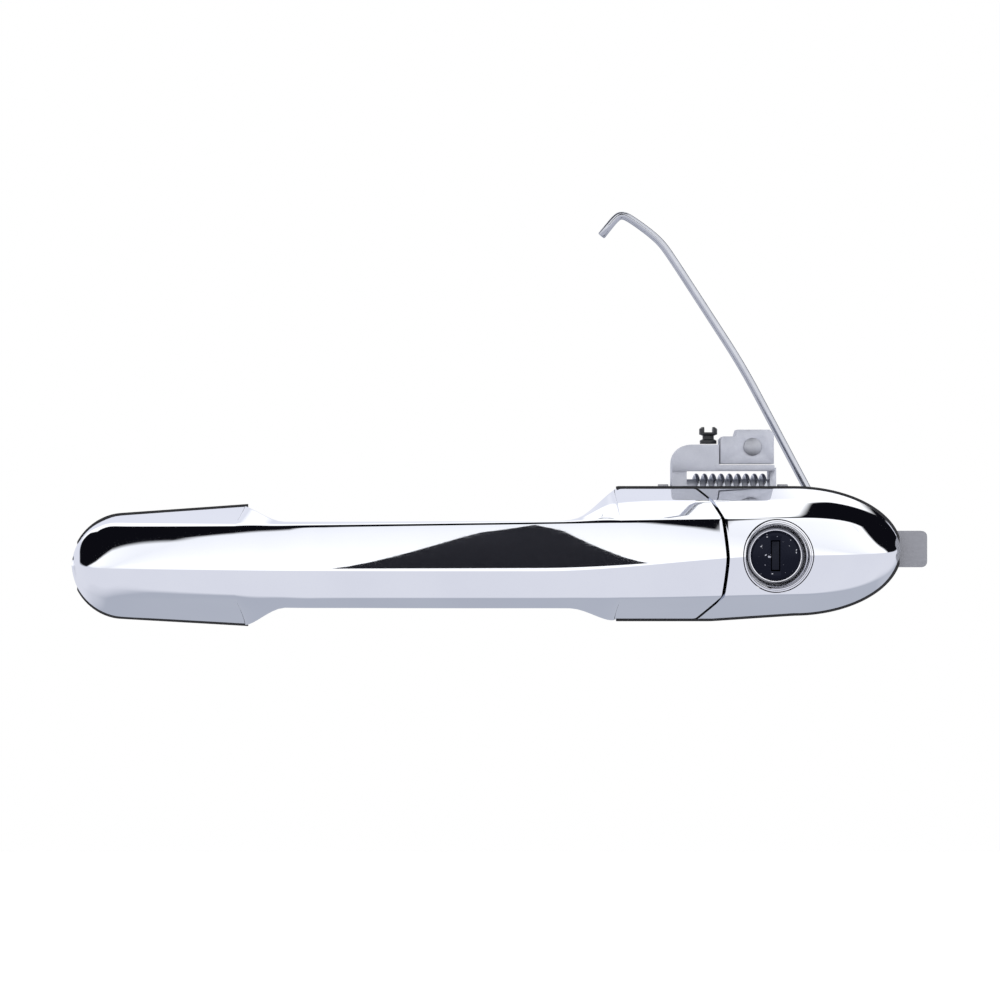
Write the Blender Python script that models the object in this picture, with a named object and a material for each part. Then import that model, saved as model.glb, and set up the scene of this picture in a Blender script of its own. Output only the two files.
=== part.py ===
"""Exterior pull handle for a car's left front door: a bowed grip hinged at its front foot, a fixed rear
cap with a key lock, and behind the door skin a carrier frame, a bell crank and the lock's link rod.

+X runs to the rear of the car, -Y out of the door, +Z up. The origin is on the carrier's contact pad,
in the plane of the inner side of the door skin. Sizes are in millimetres until MM turns them to metres.
"""

from math import cos, pi, radians, sin, sqrt

import bmesh
import bpy
from mathutils import Vector

MM = 0.001

# Overall form of grip and cap
FRONT_TIP = -120.0
REAR_TIP = 120.0
REACH = 43.0
FRONT_ROUND = 14.0
REAR_ROUND = 31.0
TIP_END = 0.15
FRONT_TIP_HEIGHT = -1.2
REAR_TIP_HEIGHT = 3.2
FLARE_DEPTH = 6.0
CREASE_DROP = 5.5
FRONT_FOOT_END = -69.7
REAR_FOOT_START = 37.0
BOW_RUN = 22.0
FINGER_ROOM = 28.0

# Walls, gaps and the door
SKIN = 0.8
GASKET = 1.6
FIT = 0.3
WALL = 2.6
SEAM_GAP = 1.0
SEAM_FACE = 65.2
SEAM_SLANT = 0.17
LIP = 0.7
SEAL_WIDTH = 3.0

# Carrier frame
PLATE = 3.5
PLATE_SET_BACK = 1.5
PLATE_INSET = 2.5
BAR_HALF_HEIGHT = 8.0
BAR_DEPTH = 8.5
RIB = 2.0
PAD_LENGTH = 70.0
PAD_HEIGHT = 9.0
BOSS_RADIUS = 5.6
BOSS_DEPTH = 7.0
INSERT_RADIUS = 3.4
INSERT_BORE = 2.1
TAB_LENGTH = 10.4
TAB_HEIGHT = 10.6
TAB_CENTRE = 3.5

# Front hinge
HINGE_X = -112.0
HINGE_Y = 12.0
HINGE_PIN = 2.0
PIN_CHAMFER = 0.4
EYE_RADIUS = 4.2
EYE_HALF_HEIGHT = 5.0
LUG = 2.5
ARM_SLOT = (-5.8, 5.8)
ARM_SLOT_RUN = (5.0, 29.8)
TIP_RELIEF = 0.18
BUSH_WALL = 0.8
BUSH_LENGTH = 7.0
EAR = 3.0

# Rear leg and crank
LEG_X = 48.7
LEG_THICK = 4.5
LEG_TOP = 1.0
LEG_BOTTOM = -9.0
FINGER_THICK = 4.0
FINGER_TOP = -2.0
CRANK_Y = 16.0
CRANK_Z = 19.5
CRANK_PIN = 1.5
CRANK_ARM = 25.4
CRANK_LEAN = 25.0
CRANK_ARM_WIDTH = 4.5
CRANK_TIP = 3.2
CRANK_NECK = 2.0
CRANK_LEFT = 54.7
CRANK_RIGHT = 85.6
HUB_RADIUS = 4.5
SPRING_WIRE = 1.2
SPRING_RADIUS = 5.6
SPRING_TURNS = 9
SPRING_ROOM = 0.7
YOKE_SHELF = 1.8
THIN_CHEEK = 1.9
YOKE_BACK = 20.0
YOKE_FRONT = 11.0
LOBE_TOP = 34.2
BLOCK_START = 68.7
BLOCK_TOP = 38.6

# Lock
LOCK_X = 81.1
LOCK_Z = 2.2
BEZEL_RADIUS = 10.0
BEZEL_MOUTH = 8.3
PLUG_FACE = -26.0
PLUG_HEAD = 2.4
PLUG_RADIUS = 6.4
HOUSING_RADIUS = 9.2
HOUSING_FLANGE = 0.4
HOUSING_BACK = 22.0
CLIP_REACH = HOUSING_RADIUS + 2.6
CLIP_THICK = 1.2
CLIP_PLAY = 0.7
TAIL_RADIUS = 3.0
LEVER_Y = 34.9
LEVER = 2.2
LEVER_END = (104.8, 9.0)
KEYWAY_WIDTH = 2.6
KEYWAY_HEIGHT = 8.6
SHUTTER = 0.6

# Link rod
ROD_RADIUS = 1.25
ROD_Y = 40.0

# Screws
SCREW_RADIUS = 1.5
SCREW_HEAD = 2.8
SCREW_HEAD_DEPTH = 2.0
SCREW_BITE = 7.5
RECESS = (2.6, 0.7, 1.0)
WEIGHT_RIVET = (78.5, 33.5)
RIVET_RADIUS = 1.5

# Fixing points, as (x, z)
FRONT_BOSS = (FRONT_FOOT_END - 6.5, 0.0)
REAR_BOSS = (REAR_TIP - 11.5, -4.5)
CAP_BOSS = (102.0, 7.5)

# Pockets in the grip's feet, as pairs of coordinates, and the screws in them
ARM_POCKET = ((HINGE_X + 11.0, HINGE_X + 32.0), (-EYE_HALF_HEIGHT + 0.5, EYE_HALF_HEIGHT - 0.5))
LEG_POCKET = ((LEG_X - 9.5, LEG_X + 8.0), (LEG_BOTTOM - 1.0, LEG_TOP + 1.0))
POCKET_DEPTH = 6.5
ARM_SCREW = (HINGE_X + 27.0, 0.0)
LEG_SCREW = (LEG_X - 5.0, (LEG_TOP + LEG_BOTTOM) / 2)

# Cover on the finger side
COVER_START = FRONT_FOOT_END + BOW_RUN + 1.0
COVER_END = REAR_FOOT_START - BOW_RUN - 1.0
COVER_THICK = 3.0
COVER_CROWN = 1.6
HOLLOW_EDGE = 1.5

# Faces of one moulding that would fall in one plane are drawn apart by this much
STAGGER = 0.02

GASKET_BACK = -SKIN
GASKET_FACE = -SKIN - GASKET
FOOT_FACE = GASKET_FACE - FIT
PLATE_BACK = PLATE_SET_BACK + PLATE
GRIP_BACK = FOOT_FACE - FINGER_ROOM
CRANK_PIVOT = (CRANK_LEFT, CRANK_Y, CRANK_Z)

# Shares of a run at which sections stand where the form turns quickly
CLOSER = (0.0, 0.03, 0.1, 0.22, 0.42, 0.68)

BOW_STEPS = (0.004, 0.03, 0.1, 0.22, 0.4, 0.6, 0.8)
FLANK_STEPS = (0.0, 0.04, 0.09, 0.16, 0.3, 0.48, 0.68, 0.86)

IN_PLANE = {"x": (1, 2, 0), "y": (0, 2, 1), "z": (0, 1, 2)}


# Materials and mesh helpers

def finish(name, colour, roughness, metallic=0.0):
    material = bpy.data.materials.new(name)
    material.use_nodes = True
    shader = material.node_tree.nodes["Principled BSDF"]
    shader.inputs["Base Color"].default_value = (*colour, 1.0)
    shader.inputs["Roughness"].default_value = roughness
    shader.inputs["Metallic"].default_value = metallic
    return material


def place(name, bm, material=None, pivot=(0.0, 0.0, 0.0), smooth=True):
    """Make an object of a mesh in millimetres, with its origin at the pivot."""
    bmesh.ops.recalc_face_normals(bm, faces=bm.faces)
    bmesh.ops.translate(bm, verts=bm.verts, vec=-Vector(pivot))
    bmesh.ops.scale(bm, verts=bm.verts, vec=(MM, MM, MM))
    mesh = bpy.data.meshes.new(name)
    bm.to_mesh(mesh)
    bm.free()
    if smooth:
        mesh.shade_smooth()
        mesh.set_sharp_from_angle(angle=radians(35))
    if material:
        mesh.materials.append(material)
    made = bpy.data.objects.new(name, mesh)
    made.location = Vector(pivot) * MM
    bpy.context.scene.collection.objects.link(made)
    return made


def combine(body, operation, tool_mesh):
    """Boolean a hidden tool, given as a mesh, into the body."""
    count = len(body.modifiers) + 1
    tool = place(f"{body.name}_tool_{count}", tool_mesh, smooth=False)
    tool.hide_render = True
    tool.display_type = "WIRE"
    step = body.modifiers.new(f"step_{count}", "BOOLEAN")
    step.operation = operation
    step.solver = "EXACT"
    step.object = tool


def cut(body, tool_mesh):
    combine(body, "DIFFERENCE", tool_mesh)


def join(body, tool_mesh):
    combine(body, "UNION", tool_mesh)


def keep_inside(body, tool_mesh):
    combine(body, "INTERSECT", tool_mesh)


def extruded(outline, along, start, end):
    """A flat outline in the plane across an axis, extruded along that axis."""
    first, second, third = IN_PLANE[along]
    bm = bmesh.new()
    corners = []
    for a, b in outline:
        point = [0.0, 0.0, 0.0]
        point[first] = a
        point[second] = b
        point[third] = start
        corners.append(bm.verts.new(point))
    face = bm.faces.new(corners)
    grown = bmesh.ops.extrude_face_region(bm, geom=[face])
    moved = [item for item in grown["geom"] if isinstance(item, bmesh.types.BMVert)]
    shift = [0.0, 0.0, 0.0]
    shift[third] = end - start
    bmesh.ops.translate(bm, verts=moved, vec=shift)
    return bm


def box(x, y, z):
    """A block between pairs of coordinates."""
    outline = [(x[0], z[0]), (x[1], z[0]), (x[1], z[1]), (x[0], z[1])]
    return extruded(outline, "y", y[0], y[1])


def arc(centre, radius, start, end, steps):
    """Points on an arc, from one angle in degrees to another."""
    points = []
    for i in range(steps + 1):
        angle = radians(start + (end - start) * i / steps)
        points.append((centre[0] + radius * cos(angle), centre[1] + radius * sin(angle)))
    return points


def circle(centre, radius, sides=24):
    return arc(centre, radius, 0, 360 - 360 / sides, sides - 1)


def rod(along, centre, radius, start, end, sides=24):
    return extruded(circle(centre, radius, sides), along, start, end)


def rounded(low, high, radius, steps=4):
    """A rectangle with rounded corners."""
    (left, bottom), (right, top) = low, high
    outline = arc((right - radius, top - radius), radius, 0, 90, steps)
    outline += arc((left + radius, top - radius), radius, 90, 180, steps)
    outline += arc((left + radius, bottom + radius), radius, 180, 270, steps)
    outline += arc((right - radius, bottom + radius), radius, 270, 360, steps)
    return outline


def link(first, first_radius, second, second_radius, steps=8):
    """The outline of a bar with a round end about each of two points."""
    span = Vector(second) - Vector(first)
    turn = Vector((1, 0)).angle_signed(span) * -180 / pi
    tilt = 90 - 180 / pi * ((first_radius - second_radius) / span.length)
    outline = arc(second, second_radius, turn - tilt, turn + tilt, steps)
    outline += arc(first, first_radius, turn + tilt, turn + 360 - tilt, steps)
    return outline


def turned(profile, along, centre, sides=32, ring=False):
    """A profile of (radius, place along the axis) points, turned about an axis through the centre."""
    first, second, third = IN_PLANE[along]
    bm = bmesh.new()
    verts = []
    for radius, station in profile:
        point = [0.0, 0.0, 0.0]
        point[first] = centre[0] + radius
        point[second] = centre[1]
        point[third] = station
        verts.append(bm.verts.new(point))
    edges = [bm.edges.new(pair) for pair in zip(verts, verts[1:])]
    if ring:
        edges.append(bm.edges.new((verts[-1], verts[0])))
    middle = [0.0, 0.0, 0.0]
    middle[first] = centre[0]
    middle[second] = centre[1]
    axis = [0.0, 0.0, 0.0]
    axis[third] = 1.0
    bmesh.ops.spin(
        bm, geom=verts + edges, cent=middle, axis=axis, angle=2 * pi, steps=sides, use_merge=True
    )
    bmesh.ops.remove_doubles(bm, verts=bm.verts, dist=0.001)
    return bm


def lofted(rings):
    """A closed body through rings of equal length, with a flat cap at both ends."""
    bm = bmesh.new()
    loops = [[bm.verts.new(point) for point in ring] for ring in rings]
    count = len(loops[0])
    for loop, after in zip(loops, loops[1:]):
        for i in range(count):
            j = (i + 1) % count
            bm.faces.new((loop[i], loop[j], after[j], after[i]))
    bm.faces.new(loops[0])
    bm.faces.new(loops[-1])
    return bm


def wire(name, points, radius, material, sides_step=1):
    """A round wire through the points, in millimetres, with closed ends."""
    curve = bpy.data.curves.new(name, "CURVE")
    curve.dimensions = "3D"
    curve.bevel_depth = radius * MM
    curve.bevel_resolution = sides_step
    curve.use_fill_caps = True
    spline = curve.splines.new("POLY")
    spline.points.add(len(points) - 1)
    for target, point in zip(spline.points, points):
        target.co = (*(Vector(point) * MM), 1.0)
    curve.materials.append(material)
    made = bpy.data.objects.new(name, curve)
    bpy.context.scene.collection.objects.link(made)
    return made


def coil(along, centre, radius, start, end, turns, first_angle=0.0, steps=14):
    """Points on a helix about an axis."""
    first, second, third = IN_PLANE[along]
    points = []
    for i in range(turns * steps + 1):
        angle = radians(first_angle) + 2 * pi * i / steps
        point = [0.0, 0.0, 0.0]
        point[first] = centre[0] + radius * cos(angle)
        point[second] = centre[1] + radius * sin(angle)
        point[third] = start + (end - start) * i / (turns * steps)
        points.append(tuple(point))
    return points


# Outer form shared by grip, cap and gaskets

def eased(x, before, after, low, high):
    """A value that goes smoothly from low to high between two stations."""
    share = min(max((x - before) / (after - before), 0.0), 1.0)
    return low + (high - low) * share * share * (3 - 2 * share)


def sloped(x, before, after, low, high):
    share = min(max((x - before) / (after - before), 0.0), 1.0)
    return low + (high - low) * share


def end_share(x):
    """How much of the full height is left near the rounded tips."""
    if x < FRONT_TIP + FRONT_ROUND:
        away = (FRONT_TIP + FRONT_ROUND - x) / FRONT_ROUND
    else:
        away = max(0.0, (x - REAR_TIP + REAR_ROUND) / REAR_ROUND)
    return sqrt(max(0.0, 1 - away * away))


def face_y(x):
    """Place of the outermost ridge: a long bow from tip to tip."""
    middle = (FRONT_TIP + REAR_TIP) / 2
    share = min(1.0, abs(x - middle) / (REAR_TIP - middle))
    return FOOT_FACE - REACH * (1 - share**2.4) ** 0.625


def back_y(x):
    """Place of the side next to the door: on the gasket at the feet, bowed out for the fingers between."""
    if x < HINGE_X + 1:
        return FOOT_FACE - TIP_RELIEF * (HINGE_X + 1 - x)
    share = 0.0
    if FRONT_FOOT_END < x <= REAR_FOOT_START:
        inward = min(x - FRONT_FOOT_END, REAR_FOOT_START - x)
        away = 1 - min(1.0, inward / BOW_RUN)
        share = sqrt(1 - away * away)
    return FOOT_FACE - FINGER_ROOM * share


def door_top(x):
    flared = sloped(x, FRONT_TIP, FRONT_FOOT_END, 12.6, 16.2)
    middle = eased(x, FRONT_FOOT_END, FRONT_FOOT_END + 14, flared, 12.0)
    return eased(x, REAR_FOOT_START - 14, REAR_FOOT_START + 2, middle, 21.4)


def door_bottom(x):
    flared = sloped(x, FRONT_TIP, FRONT_FOOT_END, -15.4, -18.3)
    middle = eased(x, FRONT_FOOT_END, FRONT_FOOT_END + 14, flared, -12.9)
    foot = eased(x, REAR_FOOT_START - 14, REAR_FOOT_START, middle, -16.9)
    return sloped(x, SEAM_FACE, REAR_TIP - REAR_ROUND, foot, -15.3)


def shoulder_top(x):
    grip = eased(x, FRONT_FOOT_END, FRONT_FOOT_END + 14, 12.8, 12.0)
    foot = eased(x, REAR_FOOT_START - 18, REAR_FOOT_START, grip, 15.8)
    return sloped(x, REAR_FOOT_START, REAR_FOOT_START + 50, foot, 21.0)


def shoulder_bottom(x):
    grip = eased(x, FRONT_FOOT_END, FRONT_FOOT_END + 14, -14.6, -12.9)
    return eased(x, REAR_FOOT_START - 14, REAR_FOOT_START, grip, -15.4)


def crease_top(x):
    return sloped(x, -60.0, SEAM_FACE, 10.9, 12.7)


def ridge(x):
    return eased(x, 15.0, LOCK_X, -1.6, 2.3)


def crease_bottom(x):
    return eased(x, REAR_FOOT_START, LOCK_X, -9.3, -8.8)


def handle_ring(x, inset=0.0, behind=0.0):
    """The section of grip or cap at a station, from the door side's top edge round the face and back."""
    share = end_share(x)
    centre = FRONT_TIP_HEIGHT if x < 0 else REAR_TIP_HEIGHT
    back = back_y(x) + behind
    face = min(face_y(x) + inset, back - 1.0)
    drop = min(CREASE_DROP, 0.45 * (back - face))
    crease = face + drop

    def level(height):
        pulled = centre + (height - centre) * share
        room = max(abs(pulled - centre) - inset, 0.4)
        return centre + room if height > centre else centre - room

    def flank(edge, shoulder, crease_height):
        points = []
        length = back - crease
        for step in FLANK_STEPS:
            flare = max(0.0, 1 - step * length / FLARE_DEPTH) ** 2
            height = crease_height + (shoulder - crease_height) * (1 - step**1.8)
            points.append((back - step * length, height + (edge - shoulder) * flare))
        return points

    top = flank(level(door_top(x)), level(shoulder_top(x)), level(crease_top(x)))
    bottom = flank(level(door_bottom(x)), level(shoulder_bottom(x)), level(crease_bottom(x)))
    points = top
    spine = centre + (ridge(x) - centre) * share
    for upper, lower, start, end in (
        (level(crease_top(x)), spine, 1.0, 0.0),
        (spine, level(crease_bottom(x)), 0.0, 1.0),
    ):
        for step in range(4):
            part = step / 4
            drawn_in = start + (end - start) * part
            points.append((face + drop * drawn_in**1.35, upper + (lower - upper) * part))
    points.append((crease, level(crease_bottom(x))))
    points += reversed(bottom)
    return [(x, y, z) for y, z in points]


def stations(start, end, step, tip_start=False, tip_end=False):
    """Places for sections, drawn closer towards a rounded tip."""
    count = max(2, round((end - start) / step))
    places = [start + (end - start) * i / count for i in range(count + 1)]
    if tip_start:
        run = places[2] - start
        places = [start + run * share for share in CLOSER] + places[2:]
    if tip_end:
        run = end - places[-3]
        places = places[:-2] + [end - run * share for share in reversed(CLOSER)]
    return places


def seam_cut(bm, gap, keep_rear):
    """Trim a body at the upright seam plane between grip and cap and close the cut."""
    along = Vector((-SEAM_SLANT, 1.0, 0.0)).normalized()
    normal = Vector((along.y, -along.x, 0.0))
    point = Vector((SEAM_FACE, face_y(SEAM_FACE) + CREASE_DROP, 0.0)) + normal * gap
    bmesh.ops.bisect_plane(
        bm,
        geom=bm.verts[:] + bm.edges[:] + bm.faces[:],
        dist=0.0001,
        plane_co=point,
        plane_no=normal,
        clear_inner=keep_rear,
        clear_outer=not keep_rear,
    )
    rim = [edge for edge in bm.edges if edge.is_boundary]
    bmesh.ops.contextual_create(bm, geom=rim)
    return bm


def grip_form():
    places = stations(FRONT_TIP + TIP_END, FRONT_FOOT_END, 6.0, tip_start=True)
    places += [FRONT_FOOT_END + BOW_RUN * share for share in BOW_STEPS]
    places += stations(FRONT_FOOT_END + BOW_RUN, REAR_FOOT_START - BOW_RUN, 8.0)
    places += [REAR_FOOT_START - BOW_RUN * share for share in reversed(BOW_STEPS)]
    places += stations(REAR_FOOT_START, SEAM_FACE + 8, 5.0)
    return seam_cut(lofted([handle_ring(x) for x in places]), 0.0, keep_rear=False)


def cap_form():
    places = stations(SEAM_FACE - 16, REAR_TIP - TIP_END, 5.0, tip_end=True)
    return seam_cut(lofted([handle_ring(x) for x in places]), SEAM_GAP, keep_rear=True)


def foot_outline(start, end, grow):
    """The outline of a foot where it meets the door, moved outwards by a margin."""
    top = []
    bottom = []
    count = 16
    for i in range(count + 1):
        swing = (1 - cos(pi * i / count)) / 2
        x = start + (end - start) * swing
        share = max(end_share(x), 0.2)
        centre = FRONT_TIP_HEIGHT if x < 0 else REAR_TIP_HEIGHT
        stretch = x + grow * (2 * swing - 1)
        top.append((stretch, centre + (door_top(x) - centre) * share + grow))
        bottom.append((stretch, centre + (door_bottom(x) - centre) * share - grow))
    return bottom + top[::-1]


# Fixed pieces behind and on the door

def carrier_frame(material):
    """Glass-filled nylon frame behind the skin: two plates, a ribbed bar, lugs, ears, bosses and a lug."""
    front_plate = foot_outline(FRONT_TIP + 3, FRONT_FOOT_END + 2, -PLATE_INSET)
    body = place("carrier_frame", extruded(front_plate, "y", PLATE_SET_BACK, PLATE_BACK), material)
    rear_plate = rounded((REAR_FOOT_START + 3, -12.0), (REAR_TIP - 7, 18.0), 9.0)
    join(body, extruded(rear_plate, "y", PLATE_SET_BACK + STAGGER, PLATE_BACK - STAGGER))
    bar_start = FRONT_FOOT_END - 6
    bar_end = REAR_FOOT_START + 7
    web_height = BAR_HALF_HEIGHT - 0.1
    web_depth = (PLATE_SET_BACK + 2 * STAGGER, PLATE_BACK - 0.9)
    join(body, box((bar_start, bar_end), web_depth, (-web_height, web_height)))
    for side in (-1, 1):
        edges = sorted((side * BAR_HALF_HEIGHT, side * (BAR_HALF_HEIGHT - RIB)))
        join(body, box((bar_start - 1, bar_end + 1), (PLATE_SET_BACK + 3 * STAGGER, BAR_DEPTH), edges))
    pad = rounded((-PAD_LENGTH / 2, -PAD_HEIGHT / 2), (PAD_LENGTH / 2, PAD_HEIGHT / 2), 2.0)
    join(body, extruded(pad, "y", 0.0, PLATE_SET_BACK + 0.5))
    for side in (-1, 1):
        low, high = sorted((side * (EYE_HALF_HEIGHT + 0.8), side * (EYE_HALF_HEIGHT + 0.8 + LUG)))
        lug = arc((HINGE_X, HINGE_Y), EYE_RADIUS, 0, 180, 10)
        lug += [(HINGE_X - EYE_RADIUS, PLATE_BACK - 1), (HINGE_X + 12, PLATE_BACK - 1)]
        join(body, extruded(lug, "z", low, high))
    for left in (CRANK_LEFT - 0.8 - EAR, CRANK_RIGHT + 0.8):
        ear = arc((CRANK_Y, CRANK_Z), CRANK_PIN + 1.5, -60, 90, 8)
        ear += [(PLATE_BACK - 1, CRANK_Z - 2.0), (PLATE_BACK - 1, CRANK_Z - 5.5)]
        join(body, extruded(ear, "x", left, left + EAR))
    for centre in (FRONT_BOSS, REAR_BOSS):
        join(body, rod("y", centre, BOSS_RADIUS, PLATE_BACK - 1, PLATE_BACK + BOSS_DEPTH))
    tab_low = (REAR_TIP - 12, TAB_CENTRE - TAB_HEIGHT / 2)
    tab_high = (REAR_TIP - 2 + TAB_LENGTH, TAB_CENTRE + TAB_HEIGHT / 2)
    tab = rounded(tab_low, tab_high, 1.6)
    join(body, extruded(tab, "y", PLATE_SET_BACK + 4 * STAGGER, PLATE_BACK - 4 * STAGGER))
    arm_slot = (HINGE_X + ARM_SLOT_RUN[0], HINGE_X + ARM_SLOT_RUN[1])
    cut(body, box(arm_slot, (PLATE_SET_BACK - 1, PLATE_BACK + 1), ARM_SLOT))
    leg_slot = (LEG_X - 3.4, CRANK_LEFT + 8.5)
    cut(body, box(leg_slot, (PLATE_SET_BACK - 1, PLATE_BACK + 9), (LEG_BOTTOM - 1.5, LEG_TOP + 2.2)))
    cut(body, rod("y", (LOCK_X, LOCK_Z), HOUSING_RADIUS + 1.0, PLATE_SET_BACK - 1, PLATE_BACK + 1, 32))
    clip_room = (PLATE_BACK + FIT, PLATE_BACK + CLIP_PLAY + CLIP_THICK + FIT)
    cut(body, rod("y", (LOCK_X, LOCK_Z), CLIP_REACH + FIT, clip_room[0], clip_room[1], 32))
    cut(body, rod("z", (HINGE_X, HINGE_Y), HINGE_PIN + FIT, -20, 20, 20))
    cut(body, rod("x", (CRANK_Y, CRANK_Z), CRANK_PIN + FIT, CRANK_LEFT - 8, CRANK_RIGHT + 8, 16))
    cut(body, rod("y", CAP_BOSS, SCREW_RADIUS + FIT, PLATE_SET_BACK - 1, PLATE_BACK + 1, 16))
    for centre in (FRONT_BOSS, REAR_BOSS):
        cut(body, rod("y", centre, INSERT_RADIUS + FIT, PLATE_BACK - 0.6, PLATE_BACK + BOSS_DEPTH + 1))
    return body


def gasket(name, start, end, material, opening):
    outline = foot_outline(start, end, LIP)
    body = place(name, extruded(outline, "y", GASKET_BACK, GASKET_FACE), material)
    cut(body, extruded(opening, "y", GASKET_BACK + 1, GASKET_FACE - 1))
    return body


def front_gasket(material):
    opening = rounded((HINGE_X + 5.0, -8.0), (HINGE_X + 34, 8.0), 2.5)
    return gasket("front_gasket", FRONT_TIP + 1.6, FRONT_FOOT_END, material, opening)


def rear_gasket(material):
    top = max(13.0, LOCK_Z + HOUSING_RADIUS + HOUSING_FLANGE + FIT)
    opening = rounded((REAR_FOOT_START + SEAL_WIDTH, -10.8), (REAR_TIP - 10, top), 4.0)
    return gasket("rear_gasket", REAR_FOOT_START + 1, REAR_TIP - 0.6, material, opening)


def cap_shell(material):
    """Chrome-plated moulding over the lock: hollow, with a bore for the lock and one screw boss."""
    body = place("cap_shell", cap_form(), material)
    places = stations(SEAM_FACE + 5, REAR_TIP - 6, 7.0)
    cut(body, lofted([handle_ring(x, WALL, behind=2.0) for x in places]))
    boss = rod("y", CAP_BOSS, SCREW_RADIUS + 2.4, face_y(CAP_BOSS[0]) + 6, PLATE_SET_BACK - FIT, 20)
    join(body, boss)
    cut(body, rod("y", CAP_BOSS, SCREW_RADIUS + FIT, face_y(CAP_BOSS[0]) + 9, PLATE_BACK, 16))
    mouth = max(BEZEL_RADIUS, HOUSING_RADIUS + HOUSING_FLANGE) + FIT
    bore = rod("y", (LOCK_X, LOCK_Z), mouth, FOOT_FACE - REACH - 5, PLATE_BACK, 40)
    cut(body, bore)
    return body


def lock_bezel(material):
    """Bright funnel ring that leads into the plug; its front edge follows the cap."""
    tube = [
        (BEZEL_MOUTH, PLUG_FACE + PLUG_HEAD - 0.1),
        (BEZEL_RADIUS, PLUG_FACE + PLUG_HEAD - 0.1),
        (BEZEL_RADIUS, FOOT_FACE - REACH),
        (BEZEL_RADIUS - 0.5, FOOT_FACE - REACH),
        (BEZEL_RADIUS - 0.5, PLUG_FACE - 8.0),
        (BEZEL_MOUTH, PLUG_FACE - 0.4),
    ]
    body = place("lock_bezel", turned(tube, "y", (LOCK_X, LOCK_Z), 40, ring=True), material)
    places = stations(SEAM_FACE + 2, REAR_TIP - 14, 5.0)
    keep_inside(body, lofted([handle_ring(x, 0.12) for x in places]))
    return body


def lock_housing(material):
    groove_start = PLATE_BACK + 0.4
    seal_start = PLUG_FACE + 10.0
    front = PLUG_FACE + PLUG_HEAD + FIT
    bore = PLUG_RADIUS + FIT
    profile = [
        (bore, front),
        (HOUSING_RADIUS + HOUSING_FLANGE, front),
        (HOUSING_RADIUS + HOUSING_FLANGE, front + 3),
        (HOUSING_RADIUS, front + 3),
        (HOUSING_RADIUS, seal_start),
        (HOUSING_RADIUS - 1.2, seal_start),
        (HOUSING_RADIUS - 1.2, seal_start + 2.2),
        (HOUSING_RADIUS, seal_start + 2.2),
        (HOUSING_RADIUS, groove_start),
        (HOUSING_RADIUS - 1.1, groove_start),
        (HOUSING_RADIUS - 1.1, groove_start + 1.8),
        (HOUSING_RADIUS, groove_start + 1.8),
        (HOUSING_RADIUS, HOUSING_BACK - 1),
        (HOUSING_RADIUS - 1, HOUSING_BACK),
        (bore, HOUSING_BACK),
    ]
    return place("lock_housing", turned(profile, "y", (LOCK_X, LOCK_Z), 28, ring=True), material)


def lock_seal(material):
    start = PLUG_FACE + 10.0 + FIT
    inner = HOUSING_RADIUS - 1.2 + FIT
    outer = HOUSING_RADIUS + 0.6
    profile = [(inner, start), (outer - 0.4, start), (outer, start + 0.4), (outer, start + 1.2)]
    profile += [(outer - 0.4, start + 1.6), (inner, start + 1.6)]
    return place("lock_seal", turned(profile, "y", (LOCK_X, LOCK_Z), 28, ring=True), material)


def lock_clip(material):
    """Spring-steel horseshoe pushed into the housing's groove behind the carrier plate."""
    start = PLATE_BACK + CLIP_PLAY
    inner = HOUSING_RADIUS - 1.1 + FIT
    outline = arc((LOCK_X, LOCK_Z), CLIP_REACH, -50, 230, 22)
    outline += arc((LOCK_X, LOCK_Z), inner, 230, -50, 22)
    return place("lock_clip", extruded(outline, "y", start, start + CLIP_THICK), material)


def pins(material):
    """Steel pins of the front hinge and of the crank."""
    reach = EYE_HALF_HEIGHT + 0.8 + LUG + 0.6
    for name, along, centre, radius, start, end in (
        ("hinge_pin", "z", (HINGE_X, HINGE_Y), HINGE_PIN, -reach, reach),
        ("crank_pin", "x", (CRANK_Y, CRANK_Z), CRANK_PIN, CRANK_LEFT - 4.4, CRANK_RIGHT + 4.4),
    ):
        profile = [(0, start), (radius - PIN_CHAMFER, start), (radius, start + PIN_CHAMFER)]
        profile += [(radius, end - PIN_CHAMFER), (radius - PIN_CHAMFER, end), (0, end)]
        place(name, turned(profile, along, centre, 16), material)


def screw(name, centre, head_at, tip_at, material):
    """Pan-head screw along Y with its head on the inboard side and a cross recess."""
    top = head_at + SCREW_HEAD_DEPTH
    profile = [(0, tip_at), (SCREW_RADIUS - 0.6, tip_at), (SCREW_RADIUS, tip_at + 1.0)]
    profile += [(SCREW_RADIUS, head_at), (SCREW_HEAD, head_at), (SCREW_HEAD, top - 0.9)]
    profile += [(SCREW_HEAD - 0.7, top - 0.2), (SCREW_HEAD - 1.5, top), (0, top)]
    body = place(name, turned(profile, "y", centre, 16), material)
    long, narrow, depth = RECESS
    for wide, tall, floor in ((long, narrow, top - depth - STAGGER), (narrow, long, top - depth)):
        x = (centre[0] - wide / 2, centre[0] + wide / 2)
        z = (centre[1] - tall / 2, centre[1] + tall / 2)
        cut(body, box(x, (floor, top + 1), z))
    return body


def inserts(material):
    """Knurled brass nuts moulded into the two fixing bosses."""
    start = PLATE_BACK - 0.6 + FIT
    end = PLATE_BACK + BOSS_DEPTH
    for name, centre in (("front_insert", FRONT_BOSS), ("rear_insert", REAR_BOSS)):
        profile = [(INSERT_BORE, start), (INSERT_RADIUS, start), (INSERT_RADIUS, end)]
        profile += [(INSERT_BORE + 0.5, end), (INSERT_BORE, end - 0.5)]
        place(name, turned(profile, "y", centre, 20, ring=True), material)


# The swinging grip

def cover_outline(x, margin):
    """Low and high edges of the cover's seat at a station."""
    low = shoulder_bottom(x) + WALL + margin
    high = shoulder_top(x) - WALL - margin
    return low, high


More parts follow.
